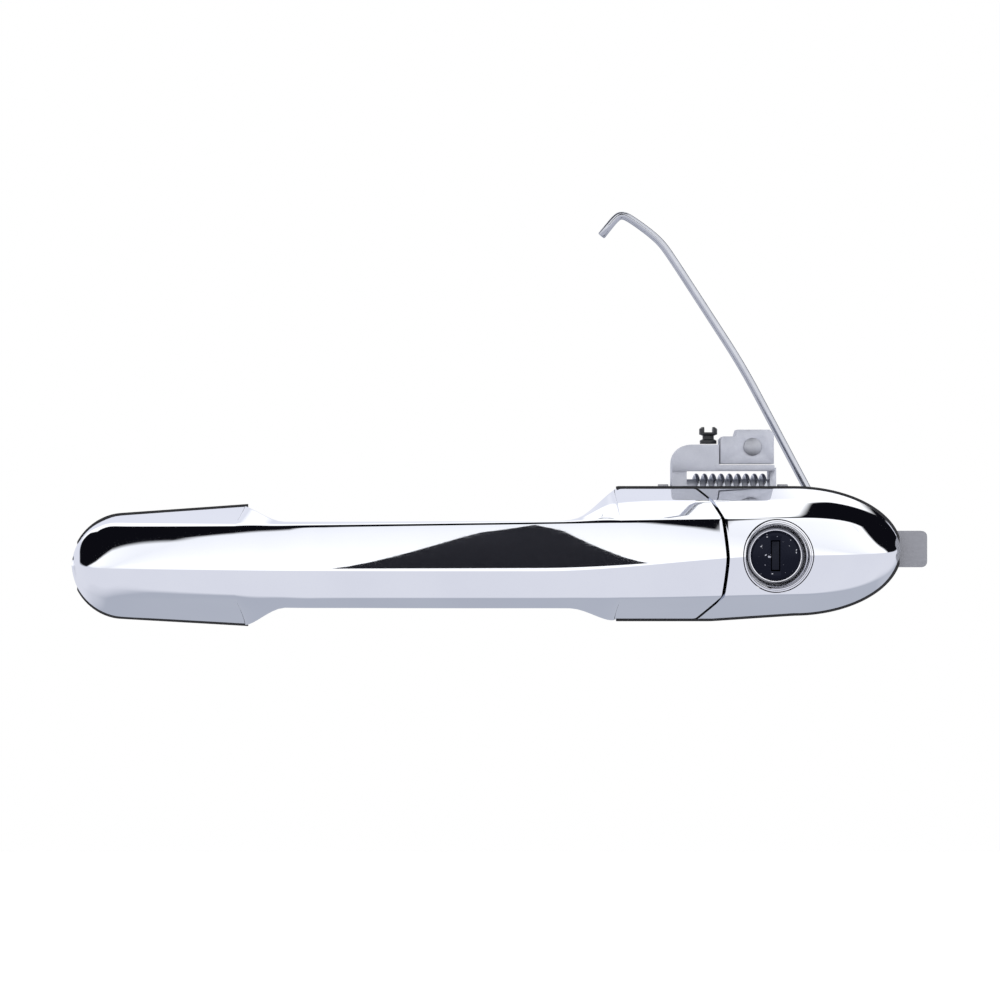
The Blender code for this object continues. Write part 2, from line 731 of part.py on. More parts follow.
def grip_shell(material):
    """Chrome-plated shell of the grip: solid feet with pockets, and a hollow bow closed by the cover."""
    body = place("grip_shell", grip_form(), material, pivot=(HINGE_X, HINGE_Y, 0.0))
    rings = []
    for x in stations(COVER_START, COVER_END, 10.0):
        low, high = cover_outline(x, 0.0)
        face = min(face_y(x) + CREASE_DROP + 1.2, GRIP_BACK - COVER_THICK - HOLLOW_EDGE)
        outer = min(face_y(x) + WALL, face - HOLLOW_EDGE)
        middle = ridge(x)
        side = face + HOLLOW_EDGE
        ring = [(GRIP_BACK + 3, high), (side, high), (face, high - HOLLOW_EDGE), (outer, middle)]
        ring += [(face, low + HOLLOW_EDGE), (side, low), (GRIP_BACK + 3, low)]
        rings.append([(x, y, z) for y, z in ring])
    cut(body, lofted(rings))
    for (x, z), hole in ((ARM_POCKET, ARM_SCREW), (LEG_POCKET, LEG_SCREW)):
        floor = FOOT_FACE - POCKET_DEPTH
        cut(body, box(x, (floor, FOOT_FACE + 2), z))
        cut(body, rod("y", hole, SCREW_RADIUS + FIT, floor - SCREW_BITE, floor + 1, 16))
    return body


def grip_back_cover(material):
    """Crowned cover on the finger side of the grip, set into the shell's opening."""
    rings = []
    for x in stations(COVER_START + FIT, COVER_END - FIT, 9.0):
        low, high = cover_outline(x, FIT)
        inner = GRIP_BACK - COVER_THICK + 0.6
        ring = [(inner, low), (inner, high)]
        for i in range(9):
            part = i / 8
            crown = COVER_CROWN * sin(pi * part)
            ring.append((GRIP_BACK - COVER_CROWN + 0.2 + crown, high + (low - high) * part))
        rings.append([(x, y, z) for y, z in ring])
    return place("grip_back_cover", lofted(rings), material, pivot=(HINGE_X, HINGE_Y, 0.0))


def front_arm(material):
    """Hinge arm: a foot in the shell's pocket and a hook back to the eye on the hinge pin."""
    left = ARM_POCKET[0][0] + FIT
    right = ARM_POCKET[0][1] - FIT
    floor = FOOT_FACE - POCKET_DEPTH + FIT
    outline = [(left, floor), (right, floor), (right, FOOT_FACE), (left + 12, FOOT_FACE)]
    outline += [(left + 11.2, FOOT_FACE + 6), (left + 6.5, HINGE_Y + 1.5), (left + 1, HINGE_Y + 3.6)]
    outline += arc((HINGE_X, HINGE_Y), EYE_RADIUS, 80, 280, 12)
    outline += [(left - 3.2, HINGE_Y - 5.0), (left, HINGE_Y - 8)]
    half = EYE_HALF_HEIGHT - 0.8
    body = place("front_arm", extruded(outline, "z", -half, half), material, pivot=(HINGE_X, HINGE_Y, 0.0))
    cut(body, rod("z", (HINGE_X, HINGE_Y), HINGE_PIN + FIT + BUSH_WALL + FIT, -20, 20, 20))
    cut(body, rod("y", ARM_SCREW, SCREW_RADIUS + FIT, floor - 1, FOOT_FACE + 1, 16))
    return body


def hinge_bush(material):
    inner = HINGE_PIN + FIT
    outer = inner + BUSH_WALL
    half = EYE_HALF_HEIGHT - 0.5
    profile = [(inner, -half), (outer, -half), (outer, half), (inner, half)]
    bm = turned(profile, "z", (HINGE_X, HINGE_Y), 20, ring=True)
    return place("hinge_bush", bm, material, pivot=(HINGE_X, HINGE_Y, 0.0))


def finger_face():
    """Outboard side of the leg's finger, just behind the crank's tip at rest."""
    return CRANK_Y + CRANK_ARM * sin(radians(CRANK_LEAN)) + CRANK_TIP + 0.4


def rear_leg(material):
    """Leg through the door: a foot in the shell's pocket, a flat blade and a finger behind the crank."""
    (left, right), (low, high) = LEG_POCKET
    floor = FOOT_FACE - POCKET_DEPTH + FIT
    foot = box((left + FIT, right - FIT), (floor, FOOT_FACE), (low + FIT, high - FIT))
    body = place("rear_leg", foot, material, pivot=(HINGE_X, HINGE_Y, 0.0))
    finger = finger_face()
    blade = [(FOOT_FACE - 1, LEG_BOTTOM), (finger + FINGER_THICK, LEG_BOTTOM)]
    blade += [(finger + FINGER_THICK, LEG_TOP), (FOOT_FACE - 1, LEG_TOP)]
    join(body, extruded(blade, "x", LEG_X, LEG_X + LEG_THICK))
    hook = (finger, finger + FINGER_THICK - 0.2)
    join(body, box((LEG_X + 0.5, CRANK_LEFT + 6.5), hook, (LEG_BOTTOM + 0.2, FINGER_TOP)))
    cut(body, rod("y", LEG_SCREW, SCREW_RADIUS + FIT, floor - 1, FOOT_FACE + 1, 16))
    return body


# Bell crank

def crank_tip():
    lean = radians(CRANK_LEAN)
    return CRANK_Y + CRANK_ARM * sin(lean), CRANK_Z - CRANK_ARM * cos(lean)


def bell_crank(material):
    """Die-cast crank: a hub tube on the pin, an arm with a round knob and a yoke over the spring."""
    hub = rod("x", (CRANK_Y, CRANK_Z), HUB_RADIUS, CRANK_LEFT, CRANK_RIGHT, 24)
    body = place("bell_crank", hub, material, CRANK_PIVOT)
    arm = link((CRANK_Y, CRANK_Z), HUB_RADIUS + 0.6, crank_tip(), CRANK_NECK)
    join(body, extruded(arm, "x", CRANK_LEFT + STAGGER, CRANK_LEFT + CRANK_ARM_WIDTH))
    knob_end = CRANK_LEFT + CRANK_ARM_WIDTH + STAGGER
    join(body, rod("x", crank_tip(), CRANK_TIP, CRANK_LEFT + 2 * STAGGER, knob_end, 20))
    shelf = yoke_underside()
    cheek = [(YOKE_FRONT + 1, CRANK_Z - 1), (YOKE_BACK - 0.2, CRANK_Z - 1), (YOKE_BACK - 0.2, shelf + 1)]
    cheek += [(YOKE_FRONT + 1, shelf + 1)]
    join(body, extruded(cheek, "x", CRANK_LEFT + 3 * STAGGER, CRANK_LEFT + CRANK_ARM_WIDTH - 0.1))
    join(body, extruded(cheek, "x", CRANK_RIGHT - THIN_CHEEK, CRANK_RIGHT - STAGGER))
    lobe = [(BLOCK_START, shelf), (BLOCK_START, LOBE_TOP)]
    lobe += arc((CRANK_LEFT + 5.6, LOBE_TOP - 5.5), 5.5, 90, 180, 7)
    lobe += [(CRANK_LEFT + 0.1, shelf)]
    join(body, extruded(lobe, "y", YOKE_FRONT + 0.5, YOKE_BACK))
    bed = (BLOCK_START - 1, CRANK_RIGHT - 0.6)
    bed_top = shelf + YOKE_SHELF
    join(body, box(bed, (YOKE_FRONT + 0.2, YOKE_BACK - 0.1), (shelf + STAGGER, bed_top)))
    bore = CRANK_PIN + FIT + BUSH_WALL + FIT
    cut(body, rod("x", (CRANK_Y, CRANK_Z), bore, CRANK_LEFT - 1, CRANK_RIGHT + 1, 20))
    return body


def yoke_underside():
    return CRANK_Z + SPRING_RADIUS + SPRING_WIRE / 2 + SPRING_ROOM


def counterweight(material):
    """Zinc block on the yoke, with a low step at its left end, that keeps the crank shut in a crash."""
    bottom = yoke_underside() + YOKE_SHELF + FIT
    left = BLOCK_START + FIT
    outline = [(left, bottom), (CRANK_RIGHT - 0.8, bottom), (CRANK_RIGHT - 0.8, BLOCK_TOP - 1.2)]
    outline += [(CRANK_RIGHT - 2.0, BLOCK_TOP), (left + 5, BLOCK_TOP), (left + 4.4, BLOCK_TOP - 2)]
    outline += [(left + 0.8, BLOCK_TOP - 2), (left, BLOCK_TOP - 2.8)]
    block = extruded(outline, "y", YOKE_FRONT, YOKE_BACK)
    body = place("counterweight", block, material, CRANK_PIVOT)
    cut(body, rod("y", WEIGHT_RIVET, RIVET_RADIUS + FIT, YOKE_FRONT - 1, YOKE_BACK + 1, 16))
    return body


def weight_rivet(material):
    """Tubular rivet through the counterweight, with a domed head on each side."""
    head = RIVET_RADIUS + 1.2
    front = YOKE_FRONT - FIT
    back = YOKE_BACK + FIT
    profile = [(0, front - 0.9), (head - 1.0, front - 0.7), (head, front), (RIVET_RADIUS, front)]
    profile += [(RIVET_RADIUS, back), (head, back), (head - 1.0, back + 0.7), (0, back + 0.9)]
    return place("weight_rivet", turned(profile, "y", WEIGHT_RIVET, 16), material, CRANK_PIVOT)


def crank_bushes(material):
    inner = CRANK_PIN + FIT
    outer = inner + BUSH_WALL
    for name, start in (("crank_bush_left", CRANK_LEFT), ("crank_bush_right", CRANK_RIGHT - BUSH_LENGTH)):
        end = start + BUSH_LENGTH
        profile = [(inner, start), (outer, start), (outer, end), (inner, end)]
        bm = turned(profile, "x", (CRANK_Y, CRANK_Z), 16, ring=True)
        place(name, bm, material, CRANK_PIVOT)


def latch_rod_clip(material):
    """Nylon clip that pivots on top of the crank and grips the latch rod: stem, collar and jaw."""
    x = BLOCK_START - 2.9
    y = (YOKE_FRONT + YOKE_BACK) / 2 + 0.5
    base = LOBE_TOP + FIT
    profile = [(0, base), (2.5, base), (2.5, base + 1.0), (1.7, base + 1.4), (1.7, base + 2.4)]
    profile += [(2.7, base + 2.8), (2.7, base + 4.4), (2.0, base + 5.0), (0, base + 5.0)]
    body = place("latch_rod_clip", turned(profile, "z", (x, y), 16), material, CRANK_PIVOT)
    cut(body, box((x - 1.3, x + 1.3), (y - 5, y + 5), (base + 3.4, base + 6)))
    return body


def crank_spring(material):
    """Torsion spring round the crank's hub, one leg against the carrier plate."""
    start = CRANK_LEFT + CRANK_ARM_WIDTH + SPRING_WIRE / 2 + 0.5
    end = CRANK_RIGHT - THIN_CHEEK - SPRING_WIRE / 2 - 0.5
    points = coil("x", (CRANK_Y, CRANK_Z), SPRING_RADIUS, start, end, SPRING_TURNS, 180.0)
    x, y, z = points[-1]
    points.append((x, y - 2.4, z - 1.8))
    points.append((x, PLATE_BACK + SPRING_WIRE / 2 + FIT, z - 3.2))
    return wire("crank_spring", points, SPRING_WIRE / 2, material)


# Lock plug, lever and rod

def lock_plug(material):
    """Plug that turns with the key: wide head, body, tail for the lever, and a keyway."""
    head = BEZEL_MOUTH - FIT
    body_start = PLUG_FACE + PLUG_HEAD
    body_end = HOUSING_BACK + 2
    tail_end = LEVER_Y + LEVER + 1.6
    profile = [(0, PLUG_FACE), (head - 0.5, PLUG_FACE), (head, PLUG_FACE + 0.5), (head, body_start)]
    profile += [(PLUG_RADIUS, body_start), (PLUG_RADIUS, body_end), (TAIL_RADIUS, body_end)]
    profile += [(TAIL_RADIUS, tail_end), (0, tail_end)]
    body = place("lock_plug", turned(profile, "y", (LOCK_X, LOCK_Z), 28), material, (LOCK_X, 0.0, LOCK_Z))
    x = (LOCK_X - KEYWAY_WIDTH / 2, LOCK_X + KEYWAY_WIDTH / 2)
    z = (LOCK_Z - KEYWAY_HEIGHT / 2, LOCK_Z + KEYWAY_HEIGHT / 2)
    cut(body, box(x, (PLUG_FACE - 1, PLUG_FACE + 26), z))
    return body


def key_shutter(material):
    """Sprung flap that keeps dirt out of the keyway; it hinges on its left edge."""
    half = KEYWAY_WIDTH / 2 - 0.25
    y = (PLUG_FACE + 0.5, PLUG_FACE + 0.5 + SHUTTER)
    tall = KEYWAY_HEIGHT / 2 - FIT
    z = (LOCK_Z - tall, LOCK_Z + tall)
    pivot = (LOCK_X - half + SHUTTER / 2, y[0] + SHUTTER / 2, LOCK_Z)
    return place("key_shutter", box((LOCK_X - half, LOCK_X + half), y, z), material, pivot)


def lock_lever(material):
    """Pressed-steel lever on the plug's tail, with a hole for the link rod."""
    outline = link((LOCK_X, LOCK_Z), TAIL_RADIUS + 2.8, LEVER_END, ROD_RADIUS + 2.6, 10)
    bm = extruded(outline, "y", LEVER_Y, LEVER_Y + LEVER)
    body = place("lock_lever", bm, material, (LOCK_X, 0.0, LOCK_Z))
    cut(body, rod("y", (LOCK_X, LOCK_Z), TAIL_RADIUS + FIT, LEVER_Y - 1, LEVER_Y + LEVER + 1, 20))
    cut(body, rod("y", LEVER_END, ROD_RADIUS + FIT, LEVER_Y - 1, LEVER_Y + LEVER + 1, 16))
    return body


def lever_clip(material):
    start = LEVER_Y + LEVER + FIT
    outline = arc((LOCK_X, LOCK_Z), TAIL_RADIUS + 2.2, -60, 240, 16)
    outline += arc((LOCK_X, LOCK_Z), TAIL_RADIUS + FIT, 240, -60, 16)
    return place("lever_clip", extruded(outline, "y", start, start + 0.8), material, (LOCK_X, 0.0, LOCK_Z))


def plug_spring(material):
    start = HOUSING_BACK + 2 + 0.8
    end = LEVER_Y - 0.9
    points = coil("y", (LOCK_X, LOCK_Z), TAIL_RADIUS + 1.4, start, end, 5, 90.0, 12)
    return wire("plug_spring", points, 0.5, material)


def link_rod(material):
    """Bent wire from the lock lever up to the latch: a tail through the lever, a long run and a hook."""
    x, z = LEVER_END
    points = [(x, LEVER_Y - 3.2, z), (x, LEVER_Y + LEVER + 0.6, z), (x - 0.2, ROD_Y - 0.9, z + 0.3)]
    points += [(x - 0.8, ROD_Y, z + 1.5), (97.7, ROD_Y, 22.4), (78.3, ROD_Y, 59.0), (56.0, ROD_Y, 93.4)]
    points += [(53.1, ROD_Y, 97.2), (49.4, ROD_Y, 100.4), (44.4, ROD_Y, 104.0)]
    points += [(41.8, ROD_Y, 105.4), (39.8, ROD_Y, 105.0), (35.0, ROD_Y, 99.0)]
    return wire("link_rod", points, ROD_RADIUS, material)


def rod_clip(material):
    """Nylon clip that keeps the rod's tail in the lever."""
    start = LEVER_Y - FIT
    inner = ROD_RADIUS + FIT
    profile = [(inner, start), (inner, start - 3.6), (inner + 1.6, start - 3.6), (inner + 2.2, start - 1.2)]
    profile += [(inner + 2.2, start)]
    pivot = (LEVER_END[0], 0.0, LEVER_END[1])
    return place("rod_clip", turned(profile, "y", LEVER_END, 16, ring=True), material, pivot)


def build():
    for old in list(bpy.data.objects):
        bpy.data.objects.remove(old, do_unlink=True)
    chrome = finish("chrome_plate", (0.80, 0.81, 0.83), 0.06, 1.0)
    dark_chrome = finish("dark_chrome", (0.12, 0.12, 0.14), 0.12, 1.0)
    zinc = finish("zinc_casting", (0.62, 0.63, 0.65), 0.4, 0.9)
    steel = finish("zinc_plated_steel", (0.60, 0.61, 0.63), 0.3, 1.0)
    brass = finish("brass", (0.72, 0.55, 0.25), 0.3, 1.0)
    nylon = finish("grey_nylon", (0.42, 0.43, 0.46), 0.55)
    black = finish("black_nylon", (0.02, 0.02, 0.022), 0.5)
    rubber = finish("black_rubber", (0.015, 0.015, 0.016), 0.8)
    carrier_frame(nylon)
    front_gasket(rubber)
    rear_gasket(rubber)
    cap_shell(chrome)
    lock_bezel(chrome)
    lock_housing(zinc)
    lock_seal(rubber)
    lock_clip(steel)
    pins(steel)
    inserts(brass)
    screw("cap_screw", CAP_BOSS, PLATE_BACK + FIT, face_y(CAP_BOSS[0]) + 10, steel)
    grip_shell(chrome)
    grip_back_cover(chrome)
    front_arm(nylon)
    hinge_bush(black)
    rear_leg(nylon)
    screw("arm_screw", ARM_SCREW, FOOT_FACE + FIT, FOOT_FACE - POCKET_DEPTH - 6.5, steel)
    screw("leg_screw", LEG_SCREW, FOOT_FACE + FIT, FOOT_FACE - POCKET_DEPTH - 6.5, steel)
    bell_crank(zinc)
    counterweight(zinc)
    weight_rivet(steel)
    crank_bushes(black)
    latch_rod_clip(black)
    crank_spring(steel)
    lock_plug(dark_chrome)
    key_shutter(steel)
    lock_lever(steel)
    lever_clip(steel)
    plug_spring(steel)
    link_rod(steel)
    rod_clip(black)


build()
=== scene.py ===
"""Looks of an exterior pull handle for a car door: chromed grip and lock cap, the lock, and the
carrier, crank and link rod behind the door skin. The camera and the studio are measured in metres, and the
handle's own pieces in millimetres, which MM turns to metres.
"""

from math import cos, pi, radians, sin, sqrt

import bmesh
import bpy
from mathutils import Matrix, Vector


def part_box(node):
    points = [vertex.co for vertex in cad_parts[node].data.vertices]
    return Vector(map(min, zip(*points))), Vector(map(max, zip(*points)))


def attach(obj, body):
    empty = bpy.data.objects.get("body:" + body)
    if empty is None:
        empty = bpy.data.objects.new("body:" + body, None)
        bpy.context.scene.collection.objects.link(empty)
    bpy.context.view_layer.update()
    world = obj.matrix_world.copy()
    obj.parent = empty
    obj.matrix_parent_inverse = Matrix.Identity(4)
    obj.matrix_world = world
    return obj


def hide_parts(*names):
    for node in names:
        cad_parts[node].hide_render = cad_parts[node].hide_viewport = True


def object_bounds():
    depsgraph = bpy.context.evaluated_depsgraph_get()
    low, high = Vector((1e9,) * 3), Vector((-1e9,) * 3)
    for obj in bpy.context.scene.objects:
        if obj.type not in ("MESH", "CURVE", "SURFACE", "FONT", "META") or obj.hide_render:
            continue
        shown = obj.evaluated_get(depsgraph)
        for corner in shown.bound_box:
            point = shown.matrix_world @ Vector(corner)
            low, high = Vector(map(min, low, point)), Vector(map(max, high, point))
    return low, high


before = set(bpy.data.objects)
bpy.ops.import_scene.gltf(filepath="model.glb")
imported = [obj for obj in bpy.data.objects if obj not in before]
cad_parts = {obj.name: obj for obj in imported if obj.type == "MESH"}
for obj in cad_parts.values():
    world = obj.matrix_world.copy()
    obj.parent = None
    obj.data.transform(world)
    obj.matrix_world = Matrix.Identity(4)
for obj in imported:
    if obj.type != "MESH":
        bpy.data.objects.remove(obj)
cad_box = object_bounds()


# Camera: square on to the door, level, a little above the handle's middle. Its lens takes in SEEN_MM
# across at SEEN_AT_MM away, which is within the handle's depth.
CAMERA_PLACE = (0.00387, -0.700, 0.0178)
SENSOR_MM = 36.0
SEEN_MM = 286.7
SEEN_AT_MM = 690.0

camera = bpy.data.objects.new("camera", bpy.data.cameras.new("camera"))
camera.data.sensor_width = SENSOR_MM
camera.data.lens = SENSOR_MM * SEEN_AT_MM / SEEN_MM
camera.data.clip_start = 0.01
camera.location = CAMERA_PLACE
camera.rotation_euler = (radians(90), 0.0, 0.0)
bpy.context.scene.collection.objects.link(camera)
bpy.context.scene.camera = camera
bpy.context.scene.view_settings.view_transform = "Standard"


# Studio: a light tent all round the handle, bright in front and above, greyer below and behind, with
# dark flags overhead. Polished chrome shows nothing but this, so its edges decide the look of the grip.
def linear(code):
    """An sRGB hex colour as the linear values that a shader takes."""
    levels = [int(code[i:i + 2], 16) / 255 for i in (1, 3, 5)]
    return (*(v / 12.92 if v <= 0.04045 else ((v + 0.055) / 1.055) ** 2.4 for v in levels), 1.0)


def add(tree, kind, inputs=None, **settings):
    """Add a node; each input is given a value, or the output that feeds it."""
    node = tree.nodes.new(kind)
    for name, value in settings.items():
        setattr(node, name, value)
    for name, value in (inputs or {}).items():
        if isinstance(value, bpy.types.NodeSocket):
            tree.links.new(value, node.inputs[name])
        else:
            node.inputs[name].default_value = value
    return node


FRONT_ABOVE = linear("#FFFFFF")
OVERHEAD = linear("#E9EAEE")
FRONT_BELOW = linear("#D0D1D9")
BACK_ABOVE = linear("#D2D4DE")
BACK_BELOW = linear("#A3A7B2")
FLAG = linear("#0B0B10")
TENT_STRENGTH = 1.3

tent = bpy.data.worlds.new("light_tent")
bpy.context.scene.world = tent
tent.use_nodes = True
tree = tent.node_tree
tree.nodes.clear()
heading = add(tree, "ShaderNodeTexCoord").outputs["Generated"]
axes = add(tree, "ShaderNodeSeparateXYZ", {0: heading}).outputs
towards = add(tree, "ShaderNodeMath", {0: axes["Y"], 1: -1.0}, operation="MULTIPLY").outputs[0]
tilt = add(tree, "ShaderNodeMath", {0: axes["Z"], 1: towards}, operation="ARCTAN2").outputs[0]
turn = add(tree, "ShaderNodeMapRange", {0: tilt, 1: -pi, 2: pi, 3: 0.0, 4: 1.0}).outputs[0]
ramp = add(tree, "ShaderNodeValToRGB", {0: turn})
# Stops: degrees round the handle, from behind it (-180) by way of below, in front (0) and above (90).
STOPS = (
    (-180, BACK_BELOW), (-112, BACK_BELOW), (-100, FRONT_BELOW), (-2, FRONT_BELOW), (0, FRONT_ABOVE),
    (40, FRONT_ABOVE), (62, OVERHEAD), (115, FRONT_ABOVE), (148, FRONT_ABOVE), (155, BACK_ABOVE),
    (180, BACK_ABOVE),
)
ramp.color_ramp.elements.remove(ramp.color_ramp.elements[0])
for i, (angle, colour) in enumerate(STOPS):
    place = (angle + 180) / 360
    stop = ramp.color_ramp.elements[0] if i == 0 else ramp.color_ramp.elements.new(place)
    stop.position = place
    stop.color = colour
# Panels: colour, softness of the edge, and bounds. Each fills the directions in which all of its bounds
# hold, a bound being a direction and the least reach along it. Pale ones close the tent past both ends,
# black ones hang overhead and behind.
PANELS = (
    (FRONT_BELOW, 0.12, (((1.0, 0.0, 0.0), 0.6), ((0.0, 0.0, -1.0), -0.1))),
    (FRONT_BELOW, 0.12, (((-1.0, 0.0, 0.0), 0.6), ((0.0, 0.0, -1.0), -0.1))),
    (FLAG, 0.02, (
        ((0.0, 1.0, 0.5), 0.0), ((0.49, 1.0, 0.9), -0.08), ((-0.3, -1.0, 0.0), -0.25),
        ((0.0, 0.0, 1.0), 0.1), ((-1.0, 0.0, 0.0), -0.42),
    )),
    (FLAG, 0.02, (
        ((1.0, 0.0, 0.0), 0.3), ((0.0, 1.0, 0.0), 0.33), ((0.0, -1.0, 0.0), -0.75), ((0.0, 0.0, 1.0), 0.15),
    )),
)
lit = ramp.outputs["Color"]
for shade, blur, bounds in PANELS:
    filled = None
    for direction, least in bounds:
        reach = add(tree, "ShaderNodeVectorMath", {0: heading, 1: direction}, operation="DOT_PRODUCT")
        edge = {0: reach.outputs["Value"], 1: least - blur, 2: least + blur}
        inside = add(tree, "ShaderNodeMapRange", edge).outputs[0]
        if filled:
            inside = add(tree, "ShaderNodeMath", {0: filled, 1: inside}, operation="MULTIPLY").outputs[0]
        filled = inside
    lit = add(tree, "ShaderNodeMix", {0: filled, 6: lit, 7: shade}, data_type="RGBA").outputs[2]
seen = add(tree, "ShaderNodeLightPath").outputs["Is Camera Ray"]
studio = add(tree, "ShaderNodeBackground", {"Color": lit, "Strength": TENT_STRENGTH})
plain = add(tree, "ShaderNodeBackground", {"Color": linear("#FFFFFF"), "Strength": 1.0})
mixed = add(tree, "ShaderNodeMixShader", {0: seen, 1: studio.outputs[0], 2: plain.outputs[0]})
add(tree, "ShaderNodeOutputWorld", {"Surface": mixed.outputs[0]})


# Floor: a pale sheet of card well below the handle, as wide as the tent. It is matt, with a faint glow of
# its own, so that it reads as white up to its far edge.
FLOOR_DROP = 0.30
FLOOR_HALF = 1.6
CARD_GLOW = 0.35


def blank_finish(name, metallic=0.0):
    """A new material, with its node tree and the shader that its colour and patterns feed."""
    material = bpy.data.materials.new(name)
    material.use_nodes = True
    shader = material.node_tree.nodes["Principled BSDF"]
    shader.inputs["Metallic"].default_value = metallic
    return material, material.node_tree, shader


bm = bmesh.new()
bmesh.ops.create_grid(bm, x_segments=8, y_segments=8, size=FLOOR_HALF)
bmesh.ops.translate(bm, verts=bm.verts, vec=(0.0, 0.0, cad_box[0][2] - FLOOR_DROP))
mesh = bpy.data.meshes.new("floor")
bm.to_mesh(mesh)
bm.free()
floor = bpy.data.objects.new("floor", mesh)
bpy.context.scene.collection.objects.link(floor)
floor.visible_glossy = False

card, tree, shader = blank_finish("matt_white_card")
shader.inputs["Base Color"].default_value = linear("#F6F6F4")
shader.inputs["Roughness"].default_value = 0.9
shader.inputs["Emission Color"].default_value = linear("#FFFFFF")
shader.inputs["Emission Strength"].default_value = CARD_GLOW
floor.data.materials.append(card)


# Flap: the dark slit in the front of the tent, wide below and pointed above, that shows in the grip's
# face. It is black velvet, which gives back no light, and only the gloss sees it.
FLAP = ((-0.38, 0.39), (0.09, 1.62), (0.36, 0.38))
FLAP_AWAY = -1.0

velvet, tree, shader = blank_finish("black_velvet")
shader.inputs["Base Color"].default_value = linear("#15151C")
shader.inputs["Roughness"].default_value = 1.0
bm = bmesh.new()
bm.faces.new([bm.verts.new((x, FLAP_AWAY, z)) for x, z in FLAP])
mesh = bpy.data.meshes.new("flap")
bm.to_mesh(mesh)
bm.free()
mesh.materials.append(velvet)
flap = bpy.data.objects.new("flap", mesh)
flap.visible_camera = False
flap.visible_shadow = False
flap.visible_diffuse = False
bpy.context.scene.collection.objects.link(flap)


# Lamps: name, place, width and power of three soft boxes that light the matt pieces. They stay out of the
# gloss, where the tent does the work.
LAMPS = (
    ("key", (-0.5, -0.9, 1.2), 0.9, 9.0),
    ("fill", (0.9, -1.0, 0.6), 0.9, 4.0),
    ("back", (0.2, 1.1, 0.9), 0.9, 6.0),
)
for name, place, size, power in LAMPS:
    lamp = bpy.data.objects.new(name, bpy.data.lights.new(name, "AREA"))
    lamp.data.size = size
    lamp.data.energy = power
    lamp.location = place
    lamp.rotation_euler = (-Vector(place)).to_track_quat("-Z", "Y").to_euler()
    lamp.visible_glossy = False
    lamp.visible_camera = False
    bpy.context.scene.collection.objects.link(lamp)


# Grip: an ABS moulding, chrome-plated after moulding, bowed out from two feet that sit on the gaskets.
# A soft ridge runs along its face between an upper and a lower facet, with a rolled edge above and below.
# Its form is one rule for the section at any place along the handle, which the lock cap shares.
MM = 0.001
FRONT_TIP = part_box("grip_shell")[0][0] / MM
REAR_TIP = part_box("cap_shell")[1][0] / MM
FOOT_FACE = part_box("grip_shell")[1][1] / MM
FRONT_ROUND = 14.0
REAR_ROUND = 31.0
REACH = 43.0
FINGER_ROOM = 28.0
FRONT_FOOT_END = -69.7
REAR_FOOT_START = 37.0
BOW_RUN = 22.0
FRONT_TIP_HEIGHT = -1.2
REAR_TIP_HEIGHT = 3.2
CREASE_DROP = 5.5
TIP_RELIEF = 0.18
HINGE_X = -112.0
SEAM_FACE = 65.2
SEAM_SLANT = 0.17
SEAM_EASE = 0.25
LOCK_X = 81.1
COVER_START = -46.7
COVER_END = 14.0
HATCH_PLAY = 0.3
HATCH_HEIGHTS = (
    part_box("grip_back_cover")[0][2] / MM - HATCH_PLAY,
    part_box("grip_back_cover")[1][2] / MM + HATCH_PLAY,
)
# Heights of the lines that run along the handle, by place, or as a pair for its front and its rear.
TOP_HEIGHTS = {"tip": 12.6, "foot": 16.2, "bow": 12.0, "cap": 21.4}
BOTTOM_HEIGHTS = {"tip": -15.4, "foot": -18.3, "bow": -12.9, "seam": -16.9, "cap": -15.3}
CREASE_TOP = (10.9, 12.7)
RIDGE = (-1.6, 2.3)
CREASE_BOTTOM = (-9.3, -8.8)
REAR_BEND_HEIGHT = 17.6
# Bends and rolled edges round the section, and how finely each part of it is divided.
BEND = 0.4
BEND_ROLL = 1.4
ROLL_AT_TIP = 2.6
ROLL = 0.9
RIM = 0.5
FINGER_ROLL = 2.4
STRIP_ROWS = 8
BAND_ROWS = 6
CORNER_STEPS = 6
FACET_STEPS = (0.0, 0.015, 0.05, 0.11, 0.2, 0.31, 0.43, 0.56, 0.7, 0.85, 1.0)


def eased(x, before, after, low, high):
    """A value that goes smoothly from low to high between two stations."""
    share = min(max((x - before) / (after - before), 0.0), 1.0)
    return low + (high - low) * share * share * (3 - 2 * share)


def sloped(x, before, after, low, high):
    """A value that goes straight from low to high between two stations."""
    share = min(max((x - before) / (after - before), 0.0), 1.0)
    return low + (high - low) * share


def end_share(x):
    """How much of the full height is left near the rounded tips."""
    if x < FRONT_TIP + FRONT_ROUND:
        away = (FRONT_TIP + FRONT_ROUND - x) / FRONT_ROUND
    else:
        away = max(0.0, (x - REAR_TIP + REAR_ROUND) / REAR_ROUND)
    return sqrt(max(0.0, 1 - away * away))


def face_y(x):
    """How far out the ridge stands: a flat arch from tip to tip."""
    share = min(1.0, abs(x - (FRONT_TIP + REAR_TIP) / 2) / ((REAR_TIP - FRONT_TIP) / 2))
    return FOOT_FACE - REACH * (1 - share**2.4) ** 0.625


def bowed(x):
    """How far the finger side stands off the door at a station, from 0 at the feet to 1."""
    if not FRONT_FOOT_END < x < REAR_FOOT_START:
        return 0.0
    away = 1 - min(1.0, min(x - FRONT_FOOT_END, REAR_FOOT_START - x) / BOW_RUN)
    return sqrt(1 - away * away)


def door_top(x):
    """Height of the upper edge on the door side."""
    flared = sloped(x, FRONT_TIP, FRONT_FOOT_END, TOP_HEIGHTS["tip"], TOP_HEIGHTS["foot"])
    middle = eased(x, FRONT_FOOT_END, FRONT_FOOT_END + 14, flared, TOP_HEIGHTS["bow"])
    return eased(x, REAR_FOOT_START - 14, REAR_FOOT_START + 2, middle, TOP_HEIGHTS["cap"])


